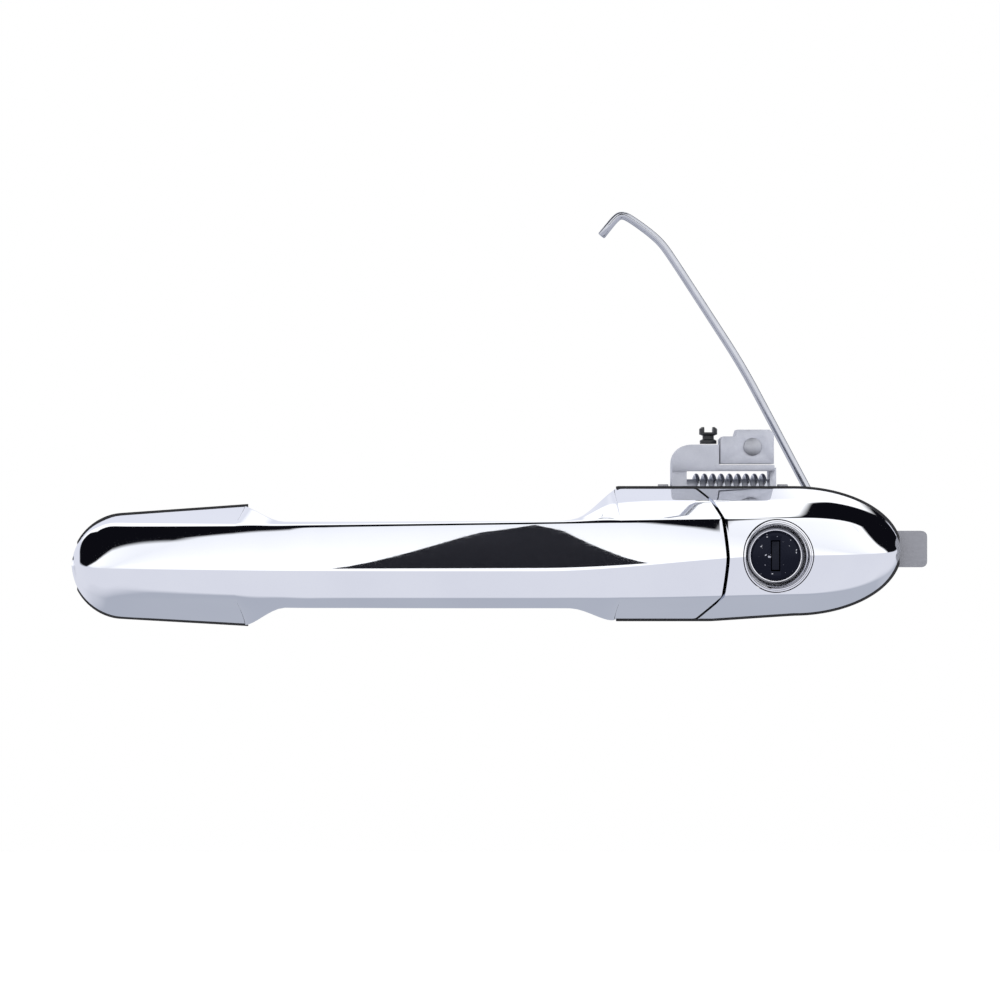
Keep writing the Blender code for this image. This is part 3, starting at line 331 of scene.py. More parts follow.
def door_bottom(x):
    flared = sloped(x, FRONT_TIP, FRONT_FOOT_END, BOTTOM_HEIGHTS["tip"], BOTTOM_HEIGHTS["foot"])
    middle = eased(x, FRONT_FOOT_END, FRONT_FOOT_END + 14, flared, BOTTOM_HEIGHTS["bow"])
    foot = eased(x, REAR_FOOT_START - 14, REAR_FOOT_START, middle, BOTTOM_HEIGHTS["seam"])
    return sloped(x, SEAM_FACE, REAR_TIP - REAR_ROUND, foot, BOTTOM_HEIGHTS["cap"])


def crease_top(x):
    """Height of the line where the upper facet turns into the upper side."""
    return sloped(x, -60.0, SEAM_FACE, *CREASE_TOP)


def ridge(x):
    return eased(x, 15.0, LOCK_X, *RIDGE)


def crease_bottom(x):
    return eased(x, REAR_FOOT_START, LOCK_X, *CREASE_BOTTOM)


def soft_corner(before, corner, after, steps):
    """Points on the curve that turns a corner between two points of its sides."""
    points = []
    for i in range(1, steps):
        t = i / steps
        points.append(before * (1 - t) ** 2 + corner * 2 * t * (1 - t) + after * t * t)
    return points


def bend_top(x):
    """Height of the soft bend along the upper side: level with the side in front, proud of it at the rear."""
    straight = crease_top(x) + BEND * (door_top(x) - crease_top(x))
    return eased(x, REAR_FOOT_START - 18, REAR_FOOT_START + 14, straight, REAR_BEND_HEIGHT)


def bend_bottom(x):
    return crease_bottom(x) + BEND * (door_bottom(x) - crease_bottom(x))


def run_between(start, end, cut_start, cut_end, count):
    """Points on a straight run, short of its ends by the two cuts."""
    length = (end - start).length
    first = min(cut_start / length, 0.45) if length > 0.001 else 0.0
    last = 1 - min(cut_end / length, 0.45) if length > 0.001 else 1.0
    return [start.lerp(end, first + (last - first) * i / count) for i in range(count + 1)]


def section(x):
    """The outline of the handle across its length: upper side, face, lower side, rim and door side."""
    share = end_share(x)
    centre = FRONT_TIP_HEIGHT if x < 0 else REAR_TIP_HEIGHT
    back = FOOT_FACE - FINGER_ROOM * bowed(x)
    if x < HINGE_X + 1:
        back = FOOT_FACE - TIP_RELIEF * (HINGE_X + 1 - x)
    face = min(face_y(x), back - 1.0)
    drop = min(CREASE_DROP, 0.45 * (back - face))
    length = back - face - drop

    def level(height):
        return centre + (height - centre) * share

    spine = level(ridge(x))
    roll = ROLL_AT_TIP + (ROLL - ROLL_AT_TIP) * eased(x, FRONT_TIP + 18, -40, 0, 1)
    rim = RIM + (FINGER_ROLL - RIM) * bowed(x)
    sides = []
    for edge, bend, crease in (
        (level(door_top(x)), level(bend_top(x)), level(crease_top(x))),
        (level(door_bottom(x)), level(bend_bottom(x)), level(crease_bottom(x))),
    ):
        edge_point = Vector((x, back, edge))
        bend_point = Vector((x, back - (1 - BEND) * length, bend))
        crease_point = Vector((x, face + drop, crease))
        strip = run_between(edge_point, bend_point, rim, BEND_ROLL, STRIP_ROWS)
        band = run_between(bend_point, crease_point, BEND_ROLL, roll, BAND_ROWS)
        width = sqrt((crease - spine) ** 2 + drop**2)
        end = 1 - min(0.5, roll / width)
        front = [
            Vector((x, face + drop * (end * step) ** 1.35, spine + (crease - spine) * end * step))
            for step in FACET_STEPS
        ]
        rows = strip + soft_corner(strip[-1], bend_point, band[0], CORNER_STEPS) + band
        rows += soft_corner(band[-1], crease_point, front[-1], CORNER_STEPS) + front[::-1]
        sides.append((rows, edge_point))
    (top, top_rim), (bottom, bottom_rim) = sides
    inset = min(rim, 0.3 * (top_rim.z - bottom_rim.z))
    high = top_rim - Vector((0, 0, inset))
    low = bottom_rim + Vector((0, 0, inset))
    hatch_low = Vector((x, back, min(max(HATCH_HEIGHTS[0], low.z), high.z)))
    hatch_high = Vector((x, back, max(min(HATCH_HEIGHTS[1], high.z), low.z)))
    door = [low, hatch_low, hatch_low.lerp(hatch_high, 0.5), hatch_high, high]
    ring = top + bottom[-2::-1]
    ring += soft_corner(bottom[0], bottom_rim, low, CORNER_STEPS) + door
    ring += soft_corner(high, top_rim, top[0], CORNER_STEPS)
    return ring


def shell_of(stations):
    """A tube of sections at the stations, closed where a tip brings a section to nothing."""
    rings = [section(x) for x in stations]
    columns = len(rings) - 1
    rows = len(rings[0])
    bm = bmesh.new()
    bmesh.ops.create_grid(bm, x_segments=columns, y_segments=rows, size=0.5)
    for vert in bm.verts:
        column = round((vert.co.x + 0.5) * columns)
        row = round((vert.co.y + 0.5) * rows) % rows
        vert.co = rings[column][row]
    bmesh.ops.remove_doubles(bm, verts=bm.verts, dist=0.0005)
    return bm


def trimmed(bm, gap, keep_rear):
    """Cut the form on the upright seam plane, fill the cut and soften its rim."""
    along = Vector((-SEAM_SLANT, 1.0, 0.0)).normalized()
    across = Vector((along.y, -along.x, 0.0))
    point = Vector((SEAM_FACE, face_y(SEAM_FACE) + CREASE_DROP, 0.0)) + across * gap
    bmesh.ops.bisect_plane(
        bm, geom=bm.verts[:] + bm.edges[:] + bm.faces[:], dist=0.0001, plane_co=point,
        plane_no=across, clear_inner=keep_rear, clear_outer=not keep_rear,
    )
    rim = [
        edge for edge in bm.edges
        if edge.is_boundary and abs((edge.verts[0].co - point).dot(across)) < 0.001
    ]
    bmesh.ops.contextual_create(bm, geom=rim)
    bmesh.ops.bevel(
        bm, geom=rim, offset=SEAM_EASE, offset_type="OFFSET", affect="EDGES", segments=3, profile=0.5,
        material=-1, clamp_overlap=True,
    )
    return bm


def carved(bm, tool, operation="DIFFERENCE"):
    """The body cut by a tool, or joined to it; both meshes are used up."""
    pair = []
    for source in (bm, tool):
        bmesh.ops.recalc_face_normals(source, faces=source.faces)
        mesh = bpy.data.meshes.new("carving")
        source.to_mesh(mesh)
        source.free()
        pair.append(bpy.data.objects.new("carving", mesh))
        bpy.context.scene.collection.objects.link(pair[-1])
    step = pair[0].modifiers.new("carving", "BOOLEAN")
    step.operation = operation
    step.solver = "EXACT"
    step.object = pair[1]
    result = bmesh.new()
    result.from_object(pair[0], bpy.context.evaluated_depsgraph_get())
    for made in pair:
        mesh = made.data
        bpy.data.objects.remove(made)
        bpy.data.meshes.remove(mesh)
    return result


def piece(name, bm, body, material, node, sharp=32):
    """Make a finished piece of a mesh in millimetres, riding on a body in place of a CAD node."""
    bmesh.ops.recalc_face_normals(bm, faces=bm.faces)
    bmesh.ops.scale(bm, verts=bm.verts, vec=(MM, MM, MM))
    mesh = bpy.data.meshes.new(name)
    bm.to_mesh(mesh)
    bm.free()
    mesh.materials.clear()
    mesh.materials.append(material)
    mesh.shade_smooth()
    mesh.set_sharp_from_angle(angle=radians(sharp))
    made = bpy.data.objects.new(name, mesh)
    bpy.context.scene.collection.objects.link(made)
    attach(made, body)
    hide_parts(node)


def prism(outline, start, end):
    """An outline of (x, z) points, extruded through the door from one depth to another."""
    bm = bmesh.new()
    corners = [bm.verts.new((x, start, z)) for x, z in outline]
    grown = bmesh.ops.extrude_face_region(bm, geom=[bm.faces.new(corners)])
    moved = [item for item in grown["geom"] if isinstance(item, bmesh.types.BMVert)]
    bmesh.ops.translate(bm, verts=moved, vec=(0.0, end - start, 0.0))
    return bm


def block(x, y, z):
    """A square-cornered tool, from its low and high place along each axis."""
    return prism([(x[0], z[0]), (x[1], z[0]), (x[1], z[1]), (x[0], z[1])], y[0], y[1])


def round_bar(centre, radius, start, end, sides=24):
    """A straight round bar through the door, used as a drill or as a boss."""
    ring = [
        (centre[0] + radius * cos(2 * pi * i / sides), centre[1] + radius * sin(2 * pi * i / sides))
        for i in range(sides)
    ]
    return prism(ring, start, end)


def quarter(start, run, count):
    """Stations that crowd towards the start of a rounded run."""
    return [start + run * (1 - cos(pi / 2 * i / count)) for i in range(count + 1)]


def spread(start, end, step):
    """Even stations, about a step apart."""
    count = max(1, round(abs(end - start) / step))
    return [start + (end - start) * i / count for i in range(count + 1)]


# Chrome plating on moulded plastic: a bright, faintly blue mirror. The plastic under it leaves a shallow
# waviness about 6 mm long, and wiping leaves hairlines that only show in the gloss. They are drawn about
# 0.35 mm wide, which is coarser than real ones, so that they show.
def chrome_on_plastic():
    material, tree, shader = blank_finish("chrome_on_abs", metallic=1.0)
    place = add(tree, "ShaderNodeTexCoord").outputs["Object"]
    wave = add(tree, "ShaderNodeTexNoise", {"Vector": place, "Scale": 1 / (6 * MM), "Detail": 1.0})
    wiped = add(
        tree, "ShaderNodeMapping", {"Vector": place, "Scale": (0.15, 1.0, 1.0), "Rotation": (0.2, 0.1, 0.4)}
    ).outputs[0]
    hair = add(tree, "ShaderNodeTexNoise", {"Vector": wiped, "Scale": 1 / (0.35 * MM), "Detail": 3.0})
    rough = add(tree, "ShaderNodeMapRange", {0: hair.outputs[0], 1: 0.35, 2: 0.75, 3: 0.02, 4: 0.055})
    tree.links.new(rough.outputs[0], shader.inputs["Roughness"])
    dull = add(tree, "ShaderNodeTexNoise", {"Vector": place, "Scale": 1 / (18 * MM), "Detail": 4.0})
    haze = add(
        tree, "ShaderNodeMix", {0: dull.outputs[0], 6: linear("#E6E8EE"), 7: linear("#EEF0F4")},
        data_type="RGBA",
    )
    tree.links.new(haze.outputs[2], shader.inputs["Base Color"])
    bump = add(tree, "ShaderNodeBump", {"Height": wave.outputs[0], "Strength": 0.06, "Distance": 0.03 * MM})
    tree.links.new(bump.outputs[0], shader.inputs["Normal"])
    return material


chrome = chrome_on_plastic()

# The grip's moulding: bow and feet in one, cut off at the seam. The finger side is sunk for its cover, and
# each foot has a pocket and a screw hole for the arm or the leg that carries it.
HATCH_DEPTH = 2.8
POCKET_DEPTH = 6.5
ARM_POCKET = ((HINGE_X + 11.0, HINGE_X + 32.0), (-4.5, 4.5))
LEG_POCKET = ((39.2, 56.7), (-10.0, 2.0))
ARM_SCREW = (HINGE_X + 27.0, 0.0)
LEG_SCREW = (43.7, -4.0)
SCREW_HOLE = 1.8
SCREW_BITE = 7.5

front_foot = quarter(FRONT_TIP, FRONT_ROUND, 16)
front_foot += spread(FRONT_TIP + FRONT_ROUND, FRONT_FOOT_END, 2.0)[1:]
front_foot += quarter(FRONT_FOOT_END, BOW_RUN, 16)[1:]
bow = spread(COVER_START, COVER_END, 2.0)
rear_foot = [REAR_FOOT_START - x for x in quarter(0.0, BOW_RUN, 16)][::-1]
rear_foot += spread(REAR_FOOT_START, SEAM_FACE + 9, 1.6)[1:]
grip = shell_of(front_foot + bow + rear_foot)
hatch = [
    face for face in grip.faces
    if all(COVER_START - 0.01 < v.co.x < COVER_END + 0.01 for v in face.verts)
    and all(abs(v.co.y - FOOT_FACE + FINGER_ROOM) < 0.01 for v in face.verts)
    and all(HATCH_HEIGHTS[0] - 0.01 < v.co.z < HATCH_HEIGHTS[1] + 0.01 for v in face.verts)
]
bmesh.ops.recalc_face_normals(grip, faces=grip.faces)
bmesh.ops.inset_region(grip, faces=hatch, thickness=0.0, depth=-HATCH_DEPTH, use_even_offset=True)
grip = trimmed(grip, 0.0, keep_rear=False)
for (x, z), screw in ((ARM_POCKET, ARM_SCREW), (LEG_POCKET, LEG_SCREW)):
    seat = FOOT_FACE - POCKET_DEPTH
    grip = carved(grip, block(x, (seat, FOOT_FACE + 2), z))
    grip = carved(grip, round_bar(screw, SCREW_HOLE, seat - SCREW_BITE, seat + 1))
piece("grip_chrome", grip, "grip", chrome, "grip_shell")


# Lock cap: the same plating on a fixed cap that carries on the grip's line and closes it round the lock.
# It is moulded hollow, bored for the lock, and has one boss behind its face for the screw that holds it.
LOCK_Z = 2.2
BORE = 10.3
CAP_WALL = 2.6
SEAM_GAP = 1.0
CAP_BOSS = (102.0, 7.5)
BOSS_RADIUS = 3.9
BOSS_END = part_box("cap_shell")[1][1] / MM

cap_stations = spread(SEAM_FACE - 14, REAR_TIP - REAR_ROUND, 1.0)
cap_stations += [REAR_TIP - x for x in quarter(0.0, REAR_ROUND, 26)][::-1][1:]
cap = trimmed(shell_of(cap_stations), SEAM_GAP, keep_rear=True)
hollow = bmesh.new()
inner_stations = spread(SEAM_FACE + 5, REAR_TIP - 6, 3.0)
columns, rows = len(inner_stations) - 1, len(section(inner_stations[0]))
bmesh.ops.create_grid(hollow, x_segments=columns, y_segments=rows, size=0.5)
for vert in hollow.verts:
    outline = section(inner_stations[round((vert.co.x + 0.5) * columns)])
    x, y, z = outline[round((vert.co.y + 0.5) * rows) % rows]
    heights = [point.z for point in outline]
    depth = FOOT_FACE - min(point.y for point in outline)
    middle, height = (max(heights) + min(heights)) / 2, max(heights) - min(heights)
    vert.co.x = x
    vert.co.y = FOOT_FACE + 2 - (FOOT_FACE - y) * (depth + 2 - CAP_WALL) / depth
    vert.co.z = middle + (z - middle) * (height - 2 * CAP_WALL) / height
bmesh.ops.remove_doubles(hollow, verts=hollow.verts, dist=0.0005)
bmesh.ops.holes_fill(hollow, edges=[edge for edge in hollow.edges if edge.is_boundary])
cap = carved(cap, hollow)
cap = carved(cap, round_bar(CAP_BOSS, BOSS_RADIUS, face_y(CAP_BOSS[0]) + 6, BOSS_END, 48), "UNION")
cap = carved(cap, round_bar(CAP_BOSS, SCREW_HOLE, face_y(CAP_BOSS[0]) + 9, BOSS_END + 1))
cap = carved(cap, round_bar((LOCK_X, LOCK_Z), BORE, FOOT_FACE - REACH - 5, FOOT_FACE + 2, 96))
piece("cap_chrome", cap, "carrier", chrome, "cap_shell")


# Finger-side cover: a plated, slightly crowned plate that snaps into the hollow of the bow and closes the
# moulding where the fingers pull.
COVER_EASE = 0.3
COVER_CROWN = 1.6

cover_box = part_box("grip_back_cover")
(left, inner, low), (right, outer, high) = [[value / MM for value in corner] for corner in cover_box]
cover = bmesh.new()
bmesh.ops.create_grid(cover, x_segments=40, y_segments=14, size=0.5)
for vert in cover.verts:
    across = vert.co.y
    vert.co = (
        left + (right - left) * (vert.co.x + 0.5),
        outer - COVER_CROWN * (2 * across) ** 2,
        low + (high - low) * (across + 0.5),
    )
bmesh.ops.recalc_face_normals(cover, faces=cover.faces)
grown = bmesh.ops.extrude_face_region(cover, geom=cover.faces[:])
for item in grown["geom"]:
    if isinstance(item, bmesh.types.BMVert):
        item.co.y = inner
rims = [edge for edge in cover.edges if edge.calc_face_angle(0) > radians(40)]
bmesh.ops.bevel(
    cover, geom=rims, offset=COVER_EASE, offset_type="OFFSET", affect="EDGES", segments=3, profile=0.5,
    material=-1, clamp_overlap=True,
)
piece("finger_cover", cover, "grip", chrome, "grip_back_cover")


# Lock face: a bright turned ring leads into the lock like a funnel, with a step half way in. The plug
# behind it is black-chromed and carries the keyway, and its rim is broken by fine turning marks.
BEZEL_RADIUS = 10.0
BEZEL_MOUTH = 8.3
PLUG_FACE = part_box("lock_plug")[0][1] / MM
PLUG_HEAD = 2.4
PLUG_BODY = 6.4
BODY_END = 24.0
TAIL_RADIUS = 3.0
KEYWAY = (2.6, 8.6)
LOCK = (LOCK_X, LOCK_Z)
LOCK_SIDES = 96
# Radii on the face: the black disc in the middle, and the thin black rings round it, which are painted shade
# that stands in for the dark lines where the funnel's steps shade one another.
DISC = 6.9
PAINTED_SHADE_RINGS = ((7.3, 7.5), (8.0, 8.4), (8.85, 9.1), (9.45, 9.6))
RING_SPAN = 12.0


def turned(profile, closed=False):
    """A profile of (radius, depth) points, spun about the axis of the lock."""
    bm = bmesh.new()
    verts = [bm.verts.new((LOCK_X + radius, depth, LOCK_Z)) for radius, depth in profile]
    edges = [bm.edges.new(pair) for pair in zip(verts, verts[1:])]
    if closed:
        edges.append(bm.edges.new((verts[-1], verts[0])))
    bmesh.ops.spin(
        bm, geom=verts + edges, cent=(LOCK_X, 0.0, LOCK_Z), axis=(0.0, 1.0, 0.0), angle=2 * pi,
        steps=LOCK_SIDES, use_merge=True,
    )
    bmesh.ops.remove_doubles(bm, verts=bm.verts, dist=0.001)
    return bm


def eased_corners(bm, width, angle=30, segments=2):
    """Round every edge of a body that is sharper than an angle."""
    sharp = [e for e in bm.edges if len(e.link_faces) == 2 and e.calc_face_angle(0) > radians(angle)]
    bmesh.ops.bevel(
        bm, geom=sharp, offset=width, offset_type="OFFSET", affect="EDGES", segments=segments, profile=0.5,
        material=-1, clamp_overlap=True,
    )
    return bm


bezel_foot = PLUG_FACE + PLUG_HEAD - 0.1
funnel = [
    (BEZEL_MOUTH, bezel_foot), (BEZEL_RADIUS, bezel_foot), (BEZEL_RADIUS, FOOT_FACE - REACH),
    (BEZEL_RADIUS - 0.45, FOOT_FACE - REACH), (BEZEL_RADIUS - 0.55, PLUG_FACE - 7.0),
    (BEZEL_RADIUS - 0.75, PLUG_FACE - 4.6), (BEZEL_RADIUS - 1.15, PLUG_FACE - 4.3),
    (BEZEL_RADIUS - 1.3, PLUG_FACE - 2.2), (BEZEL_MOUTH + 0.05, PLUG_FACE - 1.9),
    (BEZEL_MOUTH, PLUG_FACE - 0.4),
]
bezel = turned(funnel, closed=True)
round_lock = [x for x in cap_stations if SEAM_FACE + 2 < x < REAR_TIP - 14]
cap_form = shell_of([SEAM_FACE + 2] + round_lock + [REAR_TIP - 14])
bmesh.ops.holes_fill(cap_form, edges=[edge for edge in cap_form.edges if edge.is_boundary])
bezel = carved(bezel, cap_form, "INTERSECT")
eased_corners(bezel, 0.1)


# Turned bright ring and plug: chrome with thin black rings of painted shade, and a black-chromed disc in the
# middle.
# Turning marks run round the face, about 0.75 mm apart, coarser than real ones, so that they show. The
# disc has worn, lighter specks beside the keyway.
def turned_chrome():
    material, tree, shader = blank_finish("turned_black_and_bright_chrome", metallic=1.0)
    place = add(tree, "ShaderNodeTexCoord").outputs["Object"]
    centred = add(
        tree, "ShaderNodeMapping", {"Vector": place, "Location": (-LOCK_X * MM, 0.0, -LOCK_Z * MM)}
    ).outputs[0]
    flat = (1.0, 0.0, 1.0)
    across = add(tree, "ShaderNodeVectorMath", {0: centred, 1: flat}, operation="MULTIPLY").outputs[0]
    radius = add(tree, "ShaderNodeVectorMath", {0: across}, operation="LENGTH").outputs["Value"]
    share = add(tree, "ShaderNodeMath", {0: radius, 1: RING_SPAN * MM}, operation="DIVIDE").outputs[0]
    ramp = add(tree, "ShaderNodeValToRGB", {"Fac": share})
    stops = ramp.color_ramp.elements
    stops[0].position, stops[0].color = 0.0, (1.0, 1.0, 1.0, 1.0)
    stops[1].position, stops[1].color = DISC / RING_SPAN, (0.0, 0.0, 0.0, 1.0)
    ramp.color_ramp.interpolation = "CONSTANT"
    # Each ring is painted shade: a black line in the colour, not a groove in the metal, standing in for the
    # shade between the funnel's steps.
    for start, end in PAINTED_SHADE_RINGS:
        for reach, value in ((start, 0.8), (end, 0.0)):
            stop = stops.new(reach / RING_SPAN)
            stop.color = (value, value, value, 1.0)
    black = ramp.outputs["Color"]
    speck = add(
        tree, "ShaderNodeTexNoise", {"Vector": centred, "Scale": 1 / (0.9 * MM), "Detail": 5.0}
    ).outputs[0]
    beside = (-3.4 * MM, 0.0, -0.6 * MM)
    aside = add(tree, "ShaderNodeVectorMath", {0: across, 1: beside}, operation="DISTANCE")
    near = add(tree, "ShaderNodeMapRange", {0: aside.outputs["Value"], 1: 1 * MM, 2: 4 * MM, 3: 0.1, 4: 0.0})
    worn = add(tree, "ShaderNodeMath", {0: speck, 1: near.outputs[0]}, operation="ADD").outputs[0]
    wear = add(tree, "ShaderNodeMapRange", {0: worn, 1: 0.7, 2: 0.73}).outputs[0]
    dark = add(
        tree, "ShaderNodeMix", {0: wear, 6: linear("#1C1E28"), 7: linear("#B9BBC4")}, data_type="RGBA"
    ).outputs[2]
    colour = add(
        tree, "ShaderNodeMix", {0: black, 6: linear("#E9EAEF"), 7: dark}, data_type="RGBA"
    ).outputs[2]
    tree.links.new(colour, shader.inputs["Base Color"])
    marks = add(
        tree, "ShaderNodeTexWave", {"Vector": centred, "Scale": 1 / (2.4 * MM), "Distortion": 0.4},
        wave_type="RINGS", rings_direction="Y",
    ).outputs["Fac"]
    rough = add(tree, "ShaderNodeMapRange", {0: marks, 3: 0.08, 4: 0.2}).outputs[0]
    tree.links.new(rough, shader.inputs["Roughness"])
    bump = add(tree, "ShaderNodeBump", {"Height": marks, "Strength": 0.2, "Distance": 0.02 * MM}).outputs[0]
    tree.links.new(bump, shader.inputs["Normal"])
    return material


lock_chrome = turned_chrome()
piece("lock_bezel_ring", bezel, "carrier", lock_chrome, "lock_bezel")

head = BEZEL_MOUTH - 0.3
tail_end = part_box("lock_plug")[1][1] / MM
shape = [
    (0, PLUG_FACE + 0.25), (6.5, PLUG_FACE + 0.25), (6.7, PLUG_FACE + 0.45), (6.9, PLUG_FACE + 0.45),
    (7.1, PLUG_FACE), (head - 0.5, PLUG_FACE), (head - 0.15, PLUG_FACE + 0.15), (head, PLUG_FACE + 0.5),
    (head, PLUG_FACE + PLUG_HEAD), (PLUG_BODY, PLUG_FACE + PLUG_HEAD), (PLUG_BODY, BODY_END),
    (TAIL_RADIUS, BODY_END), (TAIL_RADIUS, tail_end - 0.4), (TAIL_RADIUS - 0.4, tail_end), (0, tail_end),
]
plug = turned(shape)
slot = [
    (LOCK_X + side * KEYWAY[0] / 2, LOCK_Z + up * KEYWAY[1] / 2)
    for side, up in ((-1, -1), (1, -1), (1, 1), (-1, 1))
]
plug = carved(plug, prism(slot, PLUG_FACE - 1, PLUG_FACE + 26))
eased_corners(plug, 0.12)
piece("plug_face", plug, "plug", lock_chrome, "lock_plug")


# Moulded gaskets: EPDM rubber pads that the feet stand on, with a rounded lip that shows round the chrome
# as a thin black line. The moulding leaves them matt, with a fine grain and a trace of bloom.
def rubber():
    material, tree, shader = blank_finish("epdm_rubber")
    place = add(tree, "ShaderNodeTexCoord").outputs["Object"]
    grain = add(
        tree, "ShaderNodeTexNoise", {"Vector": place, "Scale": 1 / (0.4 * MM), "Detail": 5.0}
    ).outputs[0]
    bloom = add(
        tree, "ShaderNodeTexNoise", {"Vector": place, "Scale": 1 / (9 * MM), "Detail": 3.0}
    ).outputs[0]
    colour = add(
        tree, "ShaderNodeMix", {0: bloom, 6: linear("#121214"), 7: linear("#242428")}, data_type="RGBA"
    ).outputs[2]
    tree.links.new(colour, shader.inputs["Base Color"])
    rough = add(tree, "ShaderNodeMapRange", {0: grain, 1: 0.3, 2: 0.7, 3: 0.6, 4: 0.85}).outputs[0]
    tree.links.new(rough, shader.inputs["Roughness"])
    bump = add(tree, "ShaderNodeBump", {"Height": grain, "Strength": 0.5, "Distance": 0.05 * MM}).outputs[0]
    tree.links.new(bump, shader.inputs["Normal"])
    return material


def refined(node, width):
    """A copy of a CAD node with its flat faces whole again and its corners rounded."""
    bm = bmesh.new()
    bm.from_mesh(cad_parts[node].data)
    bmesh.ops.scale(bm, verts=bm.verts, vec=(1 / MM, 1 / MM, 1 / MM))
    bmesh.ops.remove_doubles(bm, verts=bm.verts, dist=0.002)
    bmesh.ops.dissolve_limit(bm, angle_limit=radians(0.5), verts=bm.verts, edges=bm.edges)
    return eased_corners(bm, width)


def foot_outline(start, end, grow):
    """The outline of a foot where it meets the door, moved outwards by a margin."""
    top, bottom = [], []
    for i in range(PAD_STATIONS + 1):
        swing = (1 - cos(pi * i / PAD_STATIONS)) / 2
        x = start + (end - start) * swing
        share = max(end_share(x), 0.2)
        centre = FRONT_TIP_HEIGHT if x < 0 else REAR_TIP_HEIGHT
        stretch = x + grow * (2 * swing - 1)
        top.append((stretch, centre + (door_top(x) - centre) * share + grow))
        bottom.append((stretch, centre + (door_bottom(x) - centre) * share - grow))
    return bottom + top[::-1]


def opening_between(low, high):
    """A rectangle with rounded corners, from its low corner to its high one."""
    outline = []
    corners = ((high[0], high[1]), (low[0], high[1]), (low[0], low[1]), (high[0], low[1]))
    for turn, (x, z) in enumerate(corners):
        inward = (-1 if turn in (0, 3) else 1, -1 if turn in (0, 1) else 1)
        for i in range(OPENING_STEPS + 1):
            angle = pi / 2 * (turn + i / OPENING_STEPS)
            across = x + OPENING_RADIUS * (inward[0] + cos(angle))
            outline.append((across, z + OPENING_RADIUS * (inward[1] + sin(angle))))
    return outline


epdm = rubber()
LIP = 0.45
LIP_ROUND = 0.35
PAD_STATIONS = 72
OPENING_RADIUS = 2.5
OPENING_STEPS = 8
FRONT_OPENING = ((HINGE_X + 5, -8.0), (HINGE_X + 34, 8.0))
REAR_OPENING = ((REAR_FOOT_START + 3, -10.8), (REAR_TIP - 10, 13.0))
for name, node, start, end, hole in (
    ("front_gasket_pad", "front_gasket", FRONT_TIP + 1.6, FRONT_FOOT_END, FRONT_OPENING),
    ("rear_gasket_pad", "rear_gasket", REAR_FOOT_START + 1, REAR_TIP - 0.6, REAR_OPENING),
):
    front_face, back_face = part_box(node)[0][1] / MM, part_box(node)[1][1] / MM
    pad = prism(foot_outline(start, end, LIP), front_face, back_face)
    bmesh.ops.recalc_face_normals(pad, faces=pad.faces)
    eased_corners(pad, LIP_ROUND, angle=60, segments=4)
    pad = carved(pad, prism(opening_between(*hole), front_face - 1, back_face + 1))
    piece(name, pad, "carrier", epdm, node)
piece("lock_seal_ring", refined("lock_seal", 0.1), "carrier", epdm, "lock_seal")


# Mouldings: carrier, hinge arm and rear leg are mid grey glass-filled nylon, in which the fibres show as
# faint streaks and the tool's spark-eroded skin as a fine grain. Bushes and rod clips are black acetal,
# which is smoother and a little glossier.
def moulded(name, colours, grain_size, roughness, streaks):
    material, tree, shader = blank_finish(name)
    place = add(tree, "ShaderNodeTexCoord").outputs["Object"]
    grain = add(
        tree, "ShaderNodeTexNoise", {"Vector": place, "Scale": 1 / (grain_size * MM), "Detail": 4.0}
    ).outputs[0]
    along = add(tree, "ShaderNodeMapping", {"Vector": place, "Scale": (0.3, 1.0, 1.0)}).outputs[0]
    fibre = add(
        tree, "ShaderNodeTexNoise", {"Vector": along, "Scale": 1 / (0.8 * MM), "Detail": 3.0}
    ).outputs[0]
    flow = add(
        tree, "ShaderNodeTexNoise", {"Vector": place, "Scale": 1 / (14 * MM), "Detail": 3.0}
    ).outputs[0]
    mixed = add(tree, "ShaderNodeMix", {0: streaks, 2: flow, 3: fibre}, data_type="FLOAT").outputs[0]
    shade = add(tree, "ShaderNodeMapRange", {0: mixed, 1: 0.3, 2: 0.7}).outputs[0]
    colour = add(
        tree, "ShaderNodeMix", {0: shade, 6: linear(colours[0]), 7: linear(colours[1])}, data_type="RGBA"
    ).outputs[2]
    tree.links.new(colour, shader.inputs["Base Color"])
    low, high = roughness
    rough = add(tree, "ShaderNodeMapRange", {0: grain, 1: 0.3, 2: 0.7, 3: low, 4: high}).outputs[0]
    tree.links.new(rough, shader.inputs["Roughness"])
    bump = add(tree, "ShaderNodeBump", {"Height": grain, "Strength": 0.35, "Distance": 0.04 * MM}).outputs[0]
    tree.links.new(bump, shader.inputs["Normal"])
    return material


nylon = moulded("glass_filled_nylon", ("#72737A", "#7C7D84"), 0.5, (0.42, 0.6), 0.4)
acetal = moulded("black_acetal", ("#17181A", "#232427"), 0.3, (0.3, 0.45), 0.2)
for name, node, body, width in (
    ("carrier_moulding", "carrier_frame", "carrier", 0.3),
    ("hinge_arm", "front_arm", "grip", 0.35),
    ("pull_leg", "rear_leg", "grip", 0.35),
):
    piece(name, refined(node, width), body, nylon, node)
for name, node, body in (
    ("arm_bush", "hinge_bush", "grip"),
    ("left_bush", "crank_bush_left", "crank"),
    ("right_bush", "crank_bush_right", "crank"),
    ("latch_clip", "latch_rod_clip", "crank"),
    ("rod_end_clip", "rod_clip", "rod"),
):
    piece(name, refined(node, 0.15), body, acetal, node)


